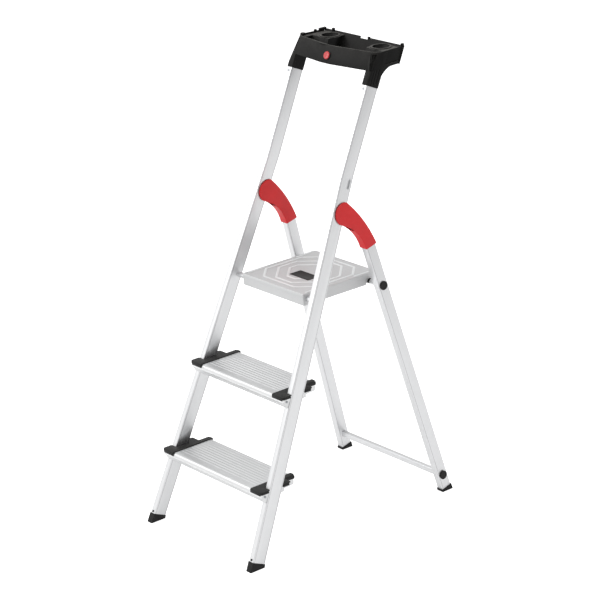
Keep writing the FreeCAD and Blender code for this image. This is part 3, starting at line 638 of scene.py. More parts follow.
@dataclass(frozen=True)
class Plastic:
    """A moulded plastic or rubber."""

    name: str
    colour: Triple
    roughness: float
    grain_size: float = 1400.0
    grain_depth: float = 0.25
    # How far faces that look up turn pale: a dusting, and painted top light.
    dust_and_top_light: float = 0.12
    gloss_coat: float = 0.0
    shine: float = 0.5
    # The pale tone of the dusting and of the painted top light.
    dust_and_top_light_tone: Triple = (0.5, 0.48, 0.45)
    bump_depth: float = 0.0002
    coat_roughness: float = 0.15

    def build(self, effects: Effects) -> Material:
        """Make the material from the shared effects.

        Args:
            effects: the shared effects.

        Returns:
            The material.
        """
        material = bpy.data.materials.new(self.name)
        material.use_nodes = True
        bench = NodeBench(material.node_tree)
        skin = bench.add("ShaderNodeGroup", node_tree=effects.moulded_skin)
        skin.inputs["Grain size"].default_value = self.grain_size
        dust_and_top_light_film = bench.add("ShaderNodeGroup", node_tree=effects.dust_and_top_light_group)
        dust_and_top_light_film.inputs["Amount"].default_value = self.dust_and_top_light
        light = tuple(min(1.0, part * 1.35 + 0.004) for part in self.colour)
        tone = bench.add("ShaderNodeMix",
                         {0: skin.outputs["Tone"], 6: (*self.colour, 1), 7: (*light, 1)},
                         data_type="RGBA").outputs[2]
        # Faces that look up go towards the pale tone: partly a dusting, partly a painted highlight
        # on the lit tops.
        tone = bench.add("ShaderNodeMix",
                         {0: dust_and_top_light_film.outputs["Mask"], 6: tone, 7: (*self.dust_and_top_light_tone, 1)},
                         data_type="RGBA").outputs[2]
        rough = bench.maths("ADD", bench.maths("MULTIPLY", skin.outputs["Tone"], 0.12),
                            bench.maths("ADD", dust_and_top_light_film.outputs["Mask"], self.roughness - 0.06),
                            clamp=True)
        bump = bench.add("ShaderNodeBump",
                         {"Height": skin.outputs["Grain"], "Strength": self.grain_depth,
                          "Distance": self.bump_depth})
        shader = bench.add("ShaderNodeBsdfPrincipled", {
            "Base Color": tone, "Metallic": 0.0, "Roughness": rough, "Normal": bump.outputs[0],
            "Specular IOR Level": self.shine, "Coat Weight": self.gloss_coat,
            "Coat Roughness": self.coat_roughness})
        bench.add("ShaderNodeOutputMaterial", {"Surface": shader.outputs[0]})
        return material


class Finishes:
    """Every finish on the stool, built once."""

    def __init__(self) -> None:
        """Build the shared effects and the materials."""
        effects = Effects()
        pale = (0.86, 0.865, 0.875)
        rake, foot = STANCE.stile_rake, STANCE.stile_foot * 0.001
        leg_foot = STANCE.leg_foot * 0.001
        self.stile = Metal("Stile aluminium", pale, 0.36, (-STANCE.stile_splay, rake, 0),
                           seams=(foot + 0.0042, foot + 0.0398)).build(effects)
        self.leg = Metal("Leg aluminium", pale, 0.36, (-STANCE.leg_splay, -STANCE.leg_rake, 0),
                         seams=(leg_foot + 0.0036,)).build(effects)
        self.tread = Metal("Tread aluminium", (0.84, 0.845, 0.85), 0.42,
                           stretch=(6.0, 900.0, 900.0)).build(effects)
        self.pressed = Metal("Pressed aluminium", (0.74, 0.745, 0.75), 0.6,
                             stretch=(500.0, 12.0, 500.0), metallic=0.7,
                             rubbed_above=PLATFORM_TOP * 0.001 + 0.0002).build(effects)
        self.bar = Metal("Crossbar aluminium", pale, 0.34,
                         stretch=(6.0, 900.0, 900.0)).build(effects)
        self.zinc = Metal("Zinc steel", (0.4, 0.41, 0.43), 0.38, stretch=(260.0, 260.0, 260.0),
                          streak_depth=0.04).build(effects)
        # The tray's strong pale mix on its upward faces is painted top light as well as a dusting.
        self.black = Plastic("Black moulding", (0.004, 0.0038, 0.0035), 0.46, dust_and_top_light=0.3,
                             shine=0.13).build(effects)
        self.cap = Plastic("Black cap", (0.008, 0.0078, 0.0075), 0.5, dust_and_top_light=0.03,
                           shine=0.28).build(effects)
        self.rubber = Plastic("Foot rubber", (0.009, 0.009, 0.009), 0.62, grain_size=900.0,
                              grain_depth=0.4, dust_and_top_light=0.04, shine=0.25).build(effects)
        self.red = Plastic("Red moulding", (0.6, 0.018, 0.021), 0.42, dust_and_top_light=0.0,
                           shine=0.35).build(effects)
        self.badge = Plastic("Red badge", (0.5, 0.02, 0.024), 0.2, dust_and_top_light=0.0, grain_depth=0.03,
                             gloss_coat=0.5).build(effects)


def dress(obj: Object, body: Body, node: str, material: Material) -> Object:
    """Give a new piece its finish and let it stand for a node of the frame.

    Args:
        obj: the finished piece.
        body: the body it moves with.
        node: the node it stands for.
        material: its finish.

    Returns:
        The piece.
    """
    obj.data.materials.clear()
    obj.data.materials.append(material)
    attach(obj, body.value)
    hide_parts(node)
    LOG.info("%s: %d faces", obj.name, len(obj.data.polygons))
    return obj


# ---------------------------------------------------------------- stiles and legs
@dataclass
class Stiles:
    """The two bent front stiles with a crimp near the rear edge of each."""

    easing: float = 1.6
    slot_low: float = 905.0
    slot_high: float = 923.0
    slot_back: float = 31.5
    slot_half: float = 4.0
    slot_deep: float = 4.0
    start: float = 4.0
    spare: float = 30.0

    def section(self, height: float) -> list[Pair]:
        """The level rectangle of the right stile at a height."""
        outer, front = STANCE.stile_outer(height), STANCE.stile_front(height)
        return rectangle(outer - STANCE.stile_wide, outer, front, front + STANCE.stile_deep)

    def mesh(self) -> Object:
        """Model the right stile: two pushes, a square top and the crimp.

        Returns:
            The right-hand piece.
        """
        low, bend, high = self.start, STANCE.bend, STANCE.rail_top + self.spare
        stile = drawn("front_stile_right_look", [metres(x, y, low) for x, y in self.section(low)],
                      STILE_UP * (bend - low) * 0.001, RAIL_UP * (high - bend) * 0.001)
        top = metres(0, STANCE.stile_front(STANCE.rail_top), STANCE.rail_top)
        bpy.ops.object.mode_set(mode="EDIT")
        bpy.ops.mesh.select_all(action="SELECT")
        bpy.ops.mesh.bisect(plane_co=top, plane_no=RAIL_UP.normalized(), use_fill=True,
                            clear_outer=True)
        bpy.ops.object.mode_set(mode="OBJECT")
        eased(stile, self.easing, 3)
        outer = STANCE.stile_outer((self.slot_low + self.slot_high) / 2)
        ends = [(STANCE.stile_front(z) + self.slot_back, z)
                for z in (self.slot_low, self.slot_high)]
        lean = math.degrees(math.atan2(1, STANCE.stile_rake))
        shape = arc(ends[0], self.slot_half, lean + 90, lean + 270, 8)
        shape += arc(ends[1], self.slot_half, lean - 90, lean + 90, 8)
        return smooth(carve(stile, side_on("crimp", shape, outer - self.slot_deep, outer + 5)))

    def build(self, finishes: Finishes) -> None:
        """Model and dress both stiles.

        Args:
            finishes: the stool's finishes.
        """
        right = self.mesh()
        for side, obj in (("left", twin(right, "front_stile_left_look")), ("right", right)):
            dress(obj, Body.FRONT, f"front_stile_{side}", finishes.stile)


@dataclass
class RearLegs:
    """The two rear legs and the hollow bar between their feet."""

    easing: float = 1.5
    bar_back: float = 322.3
    bar_height: float = 50.0
    bar_deep: float = 13.0
    bar_high: float = 15.0
    bar_half: float = 214.0
    bar_easing: float = 1.4
    start: float = 4.0
    top: float = 840.0
    # The cut at the top, as distances up the front edge and behind it.
    top_cut: tuple[Pair, ...] = ((756, 33), (850, 7), (850, -20), (900, -20), (900, 80), (756, 80))

    def mesh(self) -> Object:
        """Model the right leg with its top cut away behind.

        Returns:
            The right-hand piece.
        """
        outer, front = STANCE.leg_outer(self.start), STANCE.leg_front(self.start)
        leg = leaning("rear_leg_right_look", rectangle(
            outer - STANCE.leg_wide, outer, front, front + STANCE.leg_deep), self.start, self.top,
                      LEG_UP)
        top = [STANCE.on_leg(along, deep) for along, deep in self.top_cut]
        return eased(carve(leg, side_on("top_cut", top, 100, 220)), self.easing, 3)

    def bar(self) -> Object:
        """Model the bar, its ends cut to the legs' lean.

        Returns:
            The bar.
        """
        y0, z0 = self.bar_back - self.bar_deep / 2, self.bar_height - self.bar_high / 2
        corners = rectangle(y0, y0 + self.bar_deep, z0, z0 + self.bar_high)
        bar = side_on("rear_crossbar_look", corners, -self.bar_half, self.bar_half)
        inner = STANCE.leg_outer(0) - STANCE.leg_wide
        for sign in (1, -1):
            end = leaning("bar_end", rectangle(sign * inner, sign * (inner + 60), 250, 400), 0, 90,
                          Vector((-sign * STANCE.leg_splay, 0, 1)))
            carve(bar, end)
        return eased(bar, self.bar_easing, 3)

    def build(self, finishes: Finishes) -> None:
        """Model and dress the legs and the bar.

        Args:
            finishes: the stool's finishes.
        """
        right = self.mesh()
        for side, obj in (("left", twin(right, "rear_leg_left_look")), ("right", right)):
            dress(obj, Body.REAR, f"rear_leg_{side}", finishes.leg)
        dress(self.bar(), Body.REAR, "rear_crossbar", finishes.bar)


@dataclass
class Feet:
    """The four moulded feet, their soles ribbed and their tops cut square to the legs."""

    front_high: float = 24.3
    rear_high: float = 7.0
    proud: float = 1.1
    rib_count: int = 6
    rib_wide: float = 1.8
    rib_deep: float = 1.2
    nub_height: float = 29.3
    nub_radius: float = 3.0

    def ribs(self, name: str, obj: Object, outer: float, y0: float, y1: float) -> Object:
        """Cut grip grooves across a sole.

        Args:
            name: the foot's name.
            obj: the foot.
            outer: the foot's outer side.
            y0: the sole's front.
            y1: the sole's rear.

        Returns:
            The foot with its grooves.
        """
        for index in range(self.rib_count):
            back = y0 + (y1 - y0) * (index + 0.75) / (self.rib_count + 0.5)
            carve(obj, block(f"{name}_groove", (outer - 40, back, -3),
                             (outer + 10, back + self.rib_wide, self.rib_deep)))
        return obj

    def front(self) -> Object:
        """Model the right front foot with its snap nub.

        Returns:
            The foot.
        """
        outer, front = STANCE.stile_outer(0), STANCE.stile_front(0)
        p = self.proud
        boot = leaning("front_foot_right_look", rectangle(
            outer - STANCE.stile_wide - p, outer + p, front - p, front + STANCE.stile_deep + p),
                       0, 40, STILE_UP)
        edge, top = STANCE.stile_front(26.3), self.front_high
        wedge = [(edge - 20, top + 20 * STANCE.stile_rake),
                 (edge + 90, top - 90 * STANCE.stile_rake),
                 (edge + 90, top + 90), (edge - 20, top + 90)]
        eased(carve(boot, side_on("boot_cut", wedge, 100, 300)), 1.0, 3)
        self.ribs("front_foot", boot, outer, front, front + STANCE.stile_deep)
        height = self.nub_height
        centre = metres(STANCE.stile_outer(height) - STANCE.stile_wide / 2,
                        STANCE.stile_front(height), height)
        nub = eased(rod("nub", centre - STILE_NORMAL * 0.004, centre + STILE_NORMAL * 0.0016,
                        self.nub_radius, 24), 0.8, 3)
        return joined("front_foot_right_look", smooth(boot), nub)

    def rear(self) -> Object:
        """Model the right rear foot with its small front lip.

        Returns:
            The foot.
        """
        outer, front = STANCE.leg_outer(0), STANCE.leg_front(0)
        boot = leaning("rear_foot_right_look", rectangle(
            outer - STANCE.leg_wide - 1.3, outer + 1.3, front - 2, front + STANCE.leg_deep + 2.3),
                       0, 30, LEG_UP)
        edge, top, rake = STANCE.leg_front(11), self.rear_high, STANCE.leg_rake
        wedge = [(edge - 20, top - 20 * rake), (edge + 90, top + 90 * rake), (edge + 90, top + 90),
                 (edge - 20, top + 90)]
        eased(carve(boot, side_on("boot_cut", wedge, 100, 300)), 1.0, 3)
        return smooth(self.ribs("rear_foot", boot, outer, front, front + STANCE.leg_deep))

    def build(self, finishes: Finishes) -> None:
        """Model and dress all four feet.

        Args:
            finishes: the stool's finishes.
        """
        for place, body, right in (("front", Body.FRONT, self.front()),
                                   ("rear", Body.REAR, self.rear())):
            left = twin(right, f"{place}_foot_left_look")
            for side, obj in (("left", left), ("right", right)):
                dress(obj, body, f"{place}_foot_{side}", finishes.rubber)


# ---------------------------------------------------------------- steps
@dataclass
class Step:
    """One extruded step with a grooved tread, and the moulded cap on each of its ends."""

    which: str
    tread: float
    groove_pitch: float = 10.4
    groove_wide: float = 2.4
    groove_deep: float = 0.6
    solid_end: float = 0.5

    def profile(self) -> list[Pair]:
        """The step's section as (back from the stile's front, up from the tread).

        Returns:
            The closed outline.
        """
        points: list[Pair] = [(100.5, -20.5), (100.5, -3.0), (99.8, -0.8), (98.0, 0.0)]
        back = 92.0
        while back > -12:
            points += [(back, 0.0), (back - 0.3, -self.groove_deep),
                       (back - self.groove_wide + 0.3, -self.groove_deep),
                       (back - self.groove_wide, 0.0)]
            back -= self.groove_pitch
        points += arc((-20.5, -7.0), 7.0, 90, 180, 8)
        points += [(-27.4, -11.0), (-26.7, -11.4), (-26.6, -12.6), (-27.0, -13.2), (-20.4, -23.4),
                   (-19.5, -23.6), (-18.8, -24.4), (-19.0, -25.3), (-15.8, -30.5), (-14.6, -31.0),
                   (-8.0, -31.0), (97.0, -24.0), (99.6, -22.8)]
        return points

    def body(self) -> Object:
        """Push the section along the step and cut room for the stiles and the caps' strips.

        Returns:
            The step.
        """
        outer, front = STANCE.stile_outer(self.tread), STANCE.stile_front(self.tread)
        half = outer - self.solid_end
        step = side_on(f"{self.which}_step_look",
                       [(front + y, self.tread + z) for y, z in self.profile()],
                       -half, half)
        low = self.tread - 40
        inner, edge = STANCE.stile_outer(low) - STANCE.stile_wide, STANCE.stile_front(low)
        for sign in (1, -1):
            lean = Vector((-sign * STANCE.stile_splay, STANCE.stile_rake, 1))
            room = leaning("stile_room",
                           rectangle(sign * inner, sign * (inner + 60), edge, edge + 200),
                           low, self.tread + 12, lean)
            x0, x1 = sorted((sign * (outer - 27), sign * (outer + 40)))
            corner = block("strip_room", (x0, front + 60, self.tread - 40),
                           (x1, front + 150, self.tread + 20))
            carve(step, room, corner)
        return smooth(step, 30)

    def cap(self) -> Object:
        """Model the right end cap: plate, web, strip, front lip and end lip.

        Returns:
            The cap.
        """
        tread = self.tread
        outer, front = STANCE.stile_outer(tread), STANCE.stile_front(tread)
        inner, edge, lip = outer - 44, outer + 1.5, front - 29.0
        slot, strip = outer - STANCE.stile_wide - 0.3, outer - 27
        behind = front + STANCE.stile_deep + 0.8
        plan = rounded([
            (inner, lip, 3), (edge, lip, 8), (edge, front - 0.6, 2), (slot, front - 0.6, 0),
            (slot, behind, 0), (outer + 1, behind, 1), (outer + 1, front + 70, 6),
            (strip, front + 70, 3),
            (strip, front + 105, 8), (inner, front + 105, 1)])
        plate = drawn(f"{self.which}_step_cap_right_look", [metres(x, y, tread) for x, y in plan],
                      metres(0, 0, 1.8))
        eased(plate, 0.7, 3)
        web = block("web", (slot + 0.8, behind, tread - 6), (outer + 1, front + 64, tread + 0.6))
        tip = block("tip", (inner, front + 100.7, tread - 6), (strip - 5, front + 105, tread + 0.6))
        nose = block("nose", (inner, lip, tread - 9), (edge - 6, front - 27.6, tread + 0.6))
        rim = rounded([(edge - 8, lip, 0), (edge, lip, 7), (edge, front - 3.5, 1),
                       (outer - 0.4, front - 3.5, 0),
                       (outer - 0.4, lip + 6, 4), (edge - 8, lip + 1.4, 0)])
        end = drawn("end", [metres(x, y, tread - 6) for x, y in rim], metres(0, 0, 6.6))
        skirt = block("skirt", (strip - 0.4, front + 71.5, tread - 8.5),
                      (strip + 1.5, front + 103, tread + 0.9))
        for part in (web, tip, nose, end, skirt):
            eased(part, 0.5, 2)
        return joined(f"{self.which}_step_cap_right_look", plate, web, tip, nose, end, skirt)

    def build(self, finishes: Finishes) -> None:
        """Model and dress the step and both caps.

        Args:
            finishes: the stool's finishes.
        """
        dress(self.body(), Body.FRONT, f"{self.which}_step", finishes.tread)
        right = self.cap()
        for side, obj in (("left", twin(right, f"{self.which}_step_cap_left_look")),
                          ("right", right)):
            dress(obj, Body.FRONT, f"{self.which}_step_cap_{side}", finishes.cap)


# ---------------------------------------------------------------- platform
@dataclass
class Platform:
    """The pressed deck with its eight-sided ridges, and the plate set in it."""

    half: float = 123.0
    front: float = -61.5
    back: float = 189.5
    band: float = 10.0
    skirt: float = 31.0
    ridge_wide: float = 6.5
    ridges: tuple[Pair, ...] = ((106, 168), (89, 121), (64, 80))
    plate: tuple[float, float, float, float] = (-24, 50, 17, 55)
    rest_back: float = 164.7
    rest_height: float = 624.5
    rest_room: float = 7.4
    hinge: Pair = (-46.0, 632.0)
    tube_room: float = 7.0
    sheet: float = 2.4

    @property
    def middle(self) -> float:
        """The deck's middle from front to back."""
        return (self.front + self.back) / 2

    def shell(self, name: str, inset: float, low: float, high: float) -> Object:
        """A solid with the deck's rounded outline, set in by the inset.

        Args:
            name: the piece's name.
            inset: how far it is set in.
            low: its lowest height.
            high: its highest height.

        Returns:
            The solid.
        """
        half, front, back = self.half - inset, self.front + inset, self.back - inset
        corners = rounded([(-half, front, 4), (half, front, 4), (half, back, 13),
                           (-half, back, 13)], 6)
        return drawn(name, [metres(x, y, low) for x, y in corners], metres(0, 0, high - low))

    def notched(self, obj: Object) -> Object:
        """Cut the open notches for the rest bushes and the holes for the hinge tube.

        Args:
            obj: the piece to work on.

        Returns:
            The cut piece.
        """
        y, z = self.rest_back, self.rest_height
        opening = [(y - 16, z - 14), (y - 6.8, z + 3.3), (y, z + 4), (y + 7, z + 2.5),
                   (y + 32, z + 2.5),
                   (y + 32, z - 14)]
        for x0, x1 in ((104, 135), (-135, -104)):
            round_room = rod("notch_round", metres(x0, y, z), metres(x1, y, z), self.rest_room)
            tube = rod("tube_room", metres(x0, *self.hinge), metres(x1, *self.hinge),
                       self.tube_room)
            carve(obj, side_on("notch_open", opening, x0, x1), round_room, tube)
        return obj

    def octagon(self, name: str, half: float, reach: float, low: float, high: float) -> Object:
        """An eight-sided block on the middle of the deck.

        Args:
            name: the piece's name.
            half: half its width.
            reach: where the slanted sides stand, as across plus back from the middle.
            low: its lowest height.
            high: its highest height.

        Returns:
            The block.
        """
        side = reach - half
        corners = [(side, -half), (half, -side), (half, side), (side, half),
                   (-side, half), (-half, side), (-half, -side), (-side, -half)]
        return drawn(name, [metres(x, self.middle + y, low) for x, y in corners],
                     metres(0, 0, high - low))

    def deck(self) -> Object:
        """Model the deck: a folded upper band, a set-in skirt and the pressed ridges.

        Returns:
            The deck.
        """
        top = PLATFORM_TOP
        upper = eased(self.shell("platform_deck_look", 0, top - self.band, top), 1.8, 4)
        skirt = self.shell("skirt", 0.9, top - self.skirt, top - self.band + 1)
        carve(skirt, self.shell("skirt_room", self.sheet, top - self.skirt - 1, top))
        carve(upper, self.shell("band_room", self.sheet, top - self.band - 1, top - 2))
        deck = joined("platform_deck_look", self.notched(upper), smooth(self.notched(skirt)))
        x0, x1, y0, y1 = self.plate
        parts = []
        for index, (half, reach) in enumerate(self.ridges):
            ring = self.octagon(f"ridge_{index}", half, reach, top - 0.6, top + 0.9)
            room = self.octagon("ridge_room", half - self.ridge_wide,
                                reach - self.ridge_wide * 1.42,
                                top - 1, top + 2)
            carve(ring, room, block("seat", (x0 - 3, y0 - 3, top - 2), (x1 + 3, y1 + 3, top + 3)))
            parts.append(eased(ring, 0.7, 3, 40))
        for sign in (1, -1):
            for low, high in ((self.front + 14, self.front + 72), (self.back - 72, self.back - 20)):
                x_low, x_high = sorted((sign * 112, sign * 117))
                ridge = block("edge_ridge", (x_low, low, top - 0.6), (x_high, high, top + 0.8))
                parts.append(eased(ridge, 0.7, 3, 40))
        return joined("platform_deck_look", deck, *parts)

    def inlay(self) -> Object:
        """Model the plain black plate with its raised border and four corner rivets.

        Returns:
            The plate.
        """
        x0, x1, y0, y1 = self.plate
        top = PLATFORM_TOP
        corners = rounded([(x0, y0, 2.5), (x1, y0, 2.5), (x1, y1, 2.5), (x0, y1, 2.5)])
        plate = drawn("platform_plate_look", [metres(x, y, top) for x, y in corners],
                      metres(0, 0, 1.0))
        well = block("well", (x0 + 3, y0 + 3, top + 0.65), (x1 - 3, y1 - 3, top + 3))
        eased(carve(plate, well), 0.25, 2)
        rivets = [eased(rod("rivet", metres(x, y, top + 0.3), metres(x, y, top + 0.95), 1.5, 20),
                        0.3, 2)
                  for x in (x0 + 6, x1 - 6) for y in (y0 + 6, y1 - 6)]
        return joined("platform_plate_look", plate, *rivets)

    def build(self, finishes: Finishes) -> None:
        """Model and dress the deck and its plate."""
        dress(self.deck(), Body.PLATFORM, "platform_deck", finishes.pressed)
        dress(self.inlay(), Body.PLATFORM, "platform_plate", finishes.cap)


# ---------------------------------------------------------------- knuckles
@dataclass
class Knuckles:
    """The red covers over the pivots, and the black caps on the bolts below them."""

    head: Pair = (8.0, -3.5)
    head_radius: float = 30.0
    spine: tuple[Pair, Pair, Pair] = ((18.3, 24.7), (73.0, -40.4), (106.4, -103.4))
    throat: tuple[Pair, Pair, Pair] = ((70.3, -113.3), (46.7, -66.8), (-1.8, -31.9))
    half: float = 13.6
    room_half: float = 11.6
    wall: float = 2.5
    easing: float = 2.4
    cap_radius: float = 12.0
    cap_thick: float = 4.0
    bolts: tuple[tuple[str, float, float], ...] = (
        ("crossbar_bolt_caps", 322.3, 49.0), ("rest_bolt_caps", 164.7, 624.5))

    def slab(self, name: str, points: Sequence[Pair], start: float, end: float) -> Object:
        """A slab in the leg's leaning plane, between two distances off its middle.

        Args:
            name: the piece's name.
            points: the outline as (back, up) of the pivot.
            start: where it starts.
            end: where it ends.

        Returns:
            The slab.
        """
        level = 1 / math.hypot(1, STANCE.leg_splay)
        across = STANCE.leg_outer(STANCE.pivot_height) - STANCE.leg_wide / 2 + start
        places = [metres(across - STANCE.leg_splay * level * up, STANCE.pivot_back + back,
                         STANCE.pivot_height + level * up) for back, up in points]
        return drawn(name, places, metres(end - start, 0, 0))

    def cover(self) -> Object:
        """Model the right cover: an eased solid hollowed for the leg and the stile.

        Returns:
            The cover.
        """
        spine = arc_through(*self.spine, 14)
        throat = arc_through(*self.throat, 12)
        outline = arc(self.head, self.head_radius, 251, 70, 22)[:-1] + spine + throat[:-1]
        cover = self.slab("knuckle_cover_right_look", outline, -self.half, self.half)
        eased(cover, self.easing, 4, 40)
        inner_spine = arc_through(*self.spine, 14, inset=self.wall)[2:]
        inner_throat = arc_through(*self.throat, 12, inset=-self.wall)[:8]
        below = [(inner_spine[-1][0] + 8, inner_spine[-1][1] - 30),
                 (inner_throat[0][0] + 8, inner_throat[0][1] - 30)]
        ahead = [(throat[8][0] - 9, throat[8][1] - 9), (-60, -90), (-60, 60), (40, 60)]
        room = self.slab("cover_room", inner_spine + below + inner_throat + ahead,
                         -self.room_half, self.room_half)
        return smooth(carve(cover, room))

    @staticmethod
    def bolt_cap(name: str, back: float, height: float, radius: float, thick: float) -> Object:
        """A domed round cap flat on the leg's outer face.

        Args:
            name: the piece's name.
            back: its place from front to back.
            height: the height.
            radius: its radius in millimetres.
            thick: its thickness.

        Returns:
            The cap.
        """
        out = Vector((1, 0, STANCE.leg_splay)).normalized()
        base = metres(STANCE.leg_outer(height), back, height)
        cap = eased(rod(name, base, base + out * thick * 0.001, radius, 48), 1.3, 4)
        dish = rod("dish", base + out * (thick - 0.5) * 0.001, base + out * (thick + 2) * 0.001,
                   radius - 4, 40)
        return smooth(carve(cap, dish))

    def build(self, finishes: Finishes) -> None:
        """Model and dress the covers and the bolt caps.

        Args:
            finishes: the stool's finishes.
        """
        right = self.cover()
        for side, obj in (("left", twin(right, "knuckle_cover_left_look")), ("right", right)):
            dress(obj, Body.REAR, f"knuckle_cover_{side}", finishes.red)
        for node, back, height in self.bolts:
            cap = self.bolt_cap(f"{node}_look", back, height, self.cap_radius, self.cap_thick)
            both = joined(f"{node}_look", cap, twin(cap, "left_cap"))
            dress(both, Body.REAR, node, finishes.cap)


# ---------------------------------------------------------------- tray
@dataclass
class ToolTray:
    """The black moulded tray on the rail, with its cups, sockets and pegs, and its plain badge."""

    top: float = 1231.0
    low: float = 1188.0
    half: float = 157.0
    back: float = 287.0
    bow: float = 18.0
    wall: float = 3.0
    deck_down: float = 5.0
    cup_across: float = 98.5
    cup_back: float = 254.0
    cup_radius: float = 22.0
    facets: int = 24
    corner_radius: float = 31.0
    corner_root: float = 1158.0
    corner_cuts: tuple[int, ...] = (12, 30, 48, 66, 82)
    rear_rounding: float = 9.0
    badge_down: float = 24.0
    badge_radius: float = 10.2
    collar_radius: float = 13.2
    collar_bore: float = 10.7
    dip: Pair = (-13.0, 16.0)
    bracket: tuple[Pair, Pair, Pair] = ((187, 1141), (204.5, 1171.5), (231.8, 1188.5))
    # Each peg or lug on the rim: left, right, front, rear and how far it stands up.
    peg_places: tuple[tuple[float, ...], ...] = (
        (-150, -138, 196, 206, 5), (-157, -151, 248, 255, 3), (-156, -148, 264, 286, 4),
        (-122, -114, 281, 286.5, 6), (143, 151, 280, 286.5, 6), (16, 24, 282, 286.5, 3),
        (-44, 2, 168.2, 170.6, 0.8))

    @property
    def deck(self) -> float:
        """The height of the shelves round the cups."""
        return self.top - self.deck_down

    def cornered(self, obj: Object, inset: float = 0) -> Object:
        """Round the front corners, from nothing at the stiles' tops to the full radius at the rim.

        Args:
            obj: the solid to trim.
            inset: how far the rounding lies inside the tray's skin.

        Returns:
            The trimmed solid.
        """
        radius, root = self.corner_radius, self.corner_root
        focus(obj)
        bpy.ops.object.mode_set(mode="EDIT")
        for sign in (1, -1):
            apex = Vector((sign * self.half, STANCE.stile_front(root), root))
            centre = Vector((sign * (self.half - radius), STANCE.stile_front(self.top) + radius,
                             self.top))
            for turn in self.corner_cuts:
                angle = math.radians(turn)
                out = Vector((sign * math.cos(angle), -math.sin(angle), 0))
                touch = centre + out * radius
                normal = out.cross(Vector((0, 0, 1))).cross(touch - apex).normalized()
                normal *= 1 if normal.dot(out) > 0 else -1
                bpy.ops.mesh.select_all(action="SELECT")
                bpy.ops.mesh.bisect(plane_co=(touch - normal * inset) * 0.001, plane_no=normal,
                                    use_fill=True,
                                    clear_outer=True)
        bpy.ops.object.mode_set(mode="OBJECT")
        return obj

    def plan(self, height: float, inset: float) -> list[Pair]:
        """The tray's bowed outline at a height, set in by the wall.

        Args:
            height: the height.
            inset: how far it is set in.

        Returns:
            The closed outline.
        """
        front, half = STANCE.stile_front(height), self.half - inset
        bowed = []
        for index in range(self.facets + 1):
            share = 2 * index / self.facets - 1
            bowed.append((half * share, front + inset - self.bow * (1 - share ** 2)))
        rear = front + self.back - STANCE.stile_front(self.top) - inset
        radius = self.rear_rounding - inset
        ahead = (0.0, front, 0.0)  # gives the rear roundings their direction and is dropped again
        corners = rounded([(half, rear, radius), (-half, rear, radius), ahead])
        return bowed + corners[:-1]

    def column(self, name: str, sign: int, radius: float, low: float, high: float) -> Object:
        """A round column at a cup, leaning with the rail.

        Args:
            name: the piece's name.
            sign: 1 for the right side, -1 for the left.
            radius: its radius in millimetres.
            low: its lowest height.
            high: its highest height.

        Returns:
            The column.
        """
        slide = STANCE.stile_rake * (self.deck - low)
        ring = arc((sign * self.cup_across, self.cup_back - slide), radius, 0, 360, 48)[:-1]
        return leaning(name, ring, low, high, RAIL_UP)

    def shelf(self, name: str, sign: int, inner: float, outer: float, ahead: float, behind: float,
              low: float, high: float) -> Object:
        """A leaning block behind the stile line on one side.

        Args:
            name: the piece's name.
            sign: 1 for the right side, -1 for the left.
            inner: its side next to the middle.
            outer: its outer side.
            ahead: its front behind the stile line.
            behind: its rear behind the stile line.
            low: its lowest height.
            high: its highest height.

        Returns:
            The block.
        """
        front = STANCE.stile_front(low)
        return leaning(name, rectangle(sign * inner, sign * outer, front + ahead, front + behind),
                       low, high, RAIL_UP)

    def tub(self) -> Object:
        """Model the open tub with a shelf and a cup on each side.

        Returns:
            The tub.
        """
        floor = self.low + self.wall
        tub = self.cornered(leaning("tool_tray_look", self.plan(self.low, 0), self.low, self.top,
                                    RAIL_UP))
        hollow = leaning("hollow", self.plan(floor, self.wall), floor, self.top + 4, RAIL_UP)
        self.cornered(hollow, self.wall)
        for sign in (1, -1):
            shelf = self.shelf("shelf", sign, self.cup_across - 26, self.half - 1, 44, 101,
                               self.low + 1,
                               self.deck)
            carve(hollow, shelf, self.column("post", sign, self.cup_radius + 9, self.low + 1,
                                             self.deck))
        carve(tub, hollow, block("dip", (self.dip[0], self.back - 12, self.deck),
                                 (self.dip[1], self.back + 8, self.top + 5)))
        for sign in (1, -1):
            bay = self.shelf("bay", sign, self.cup_across - 23, self.half - 22, 47, 97,
                             self.low - 1,
                             self.deck - self.wall)
            carve(bay, self.column("cup_wall", sign, self.cup_radius + self.wall, self.low - 5,
                                   self.deck))
            carve(tub, bay, self.column("cup", sign, self.cup_radius, self.low + 5, self.deck + 1))
        return eased(tub, 0.9, 2, 50)

    def ring(self, sign: int) -> Object:
        """The raised rim round one cup.

        Args:
            sign: 1 for the right side, -1 for the left.

        Returns:
            The rim.
        """
        centre = (sign * self.cup_across, self.cup_back)
        rim = rod("rim", metres(*centre, self.deck - 0.5), metres(*centre, self.deck + 2),
                  self.cup_radius + 6, 64)
        bore = rod("bore", metres(*centre, self.deck - 2), metres(*centre, self.deck + 5),
                   self.cup_radius, 64)
        return eased(carve(rim, bore), 1.0, 3)

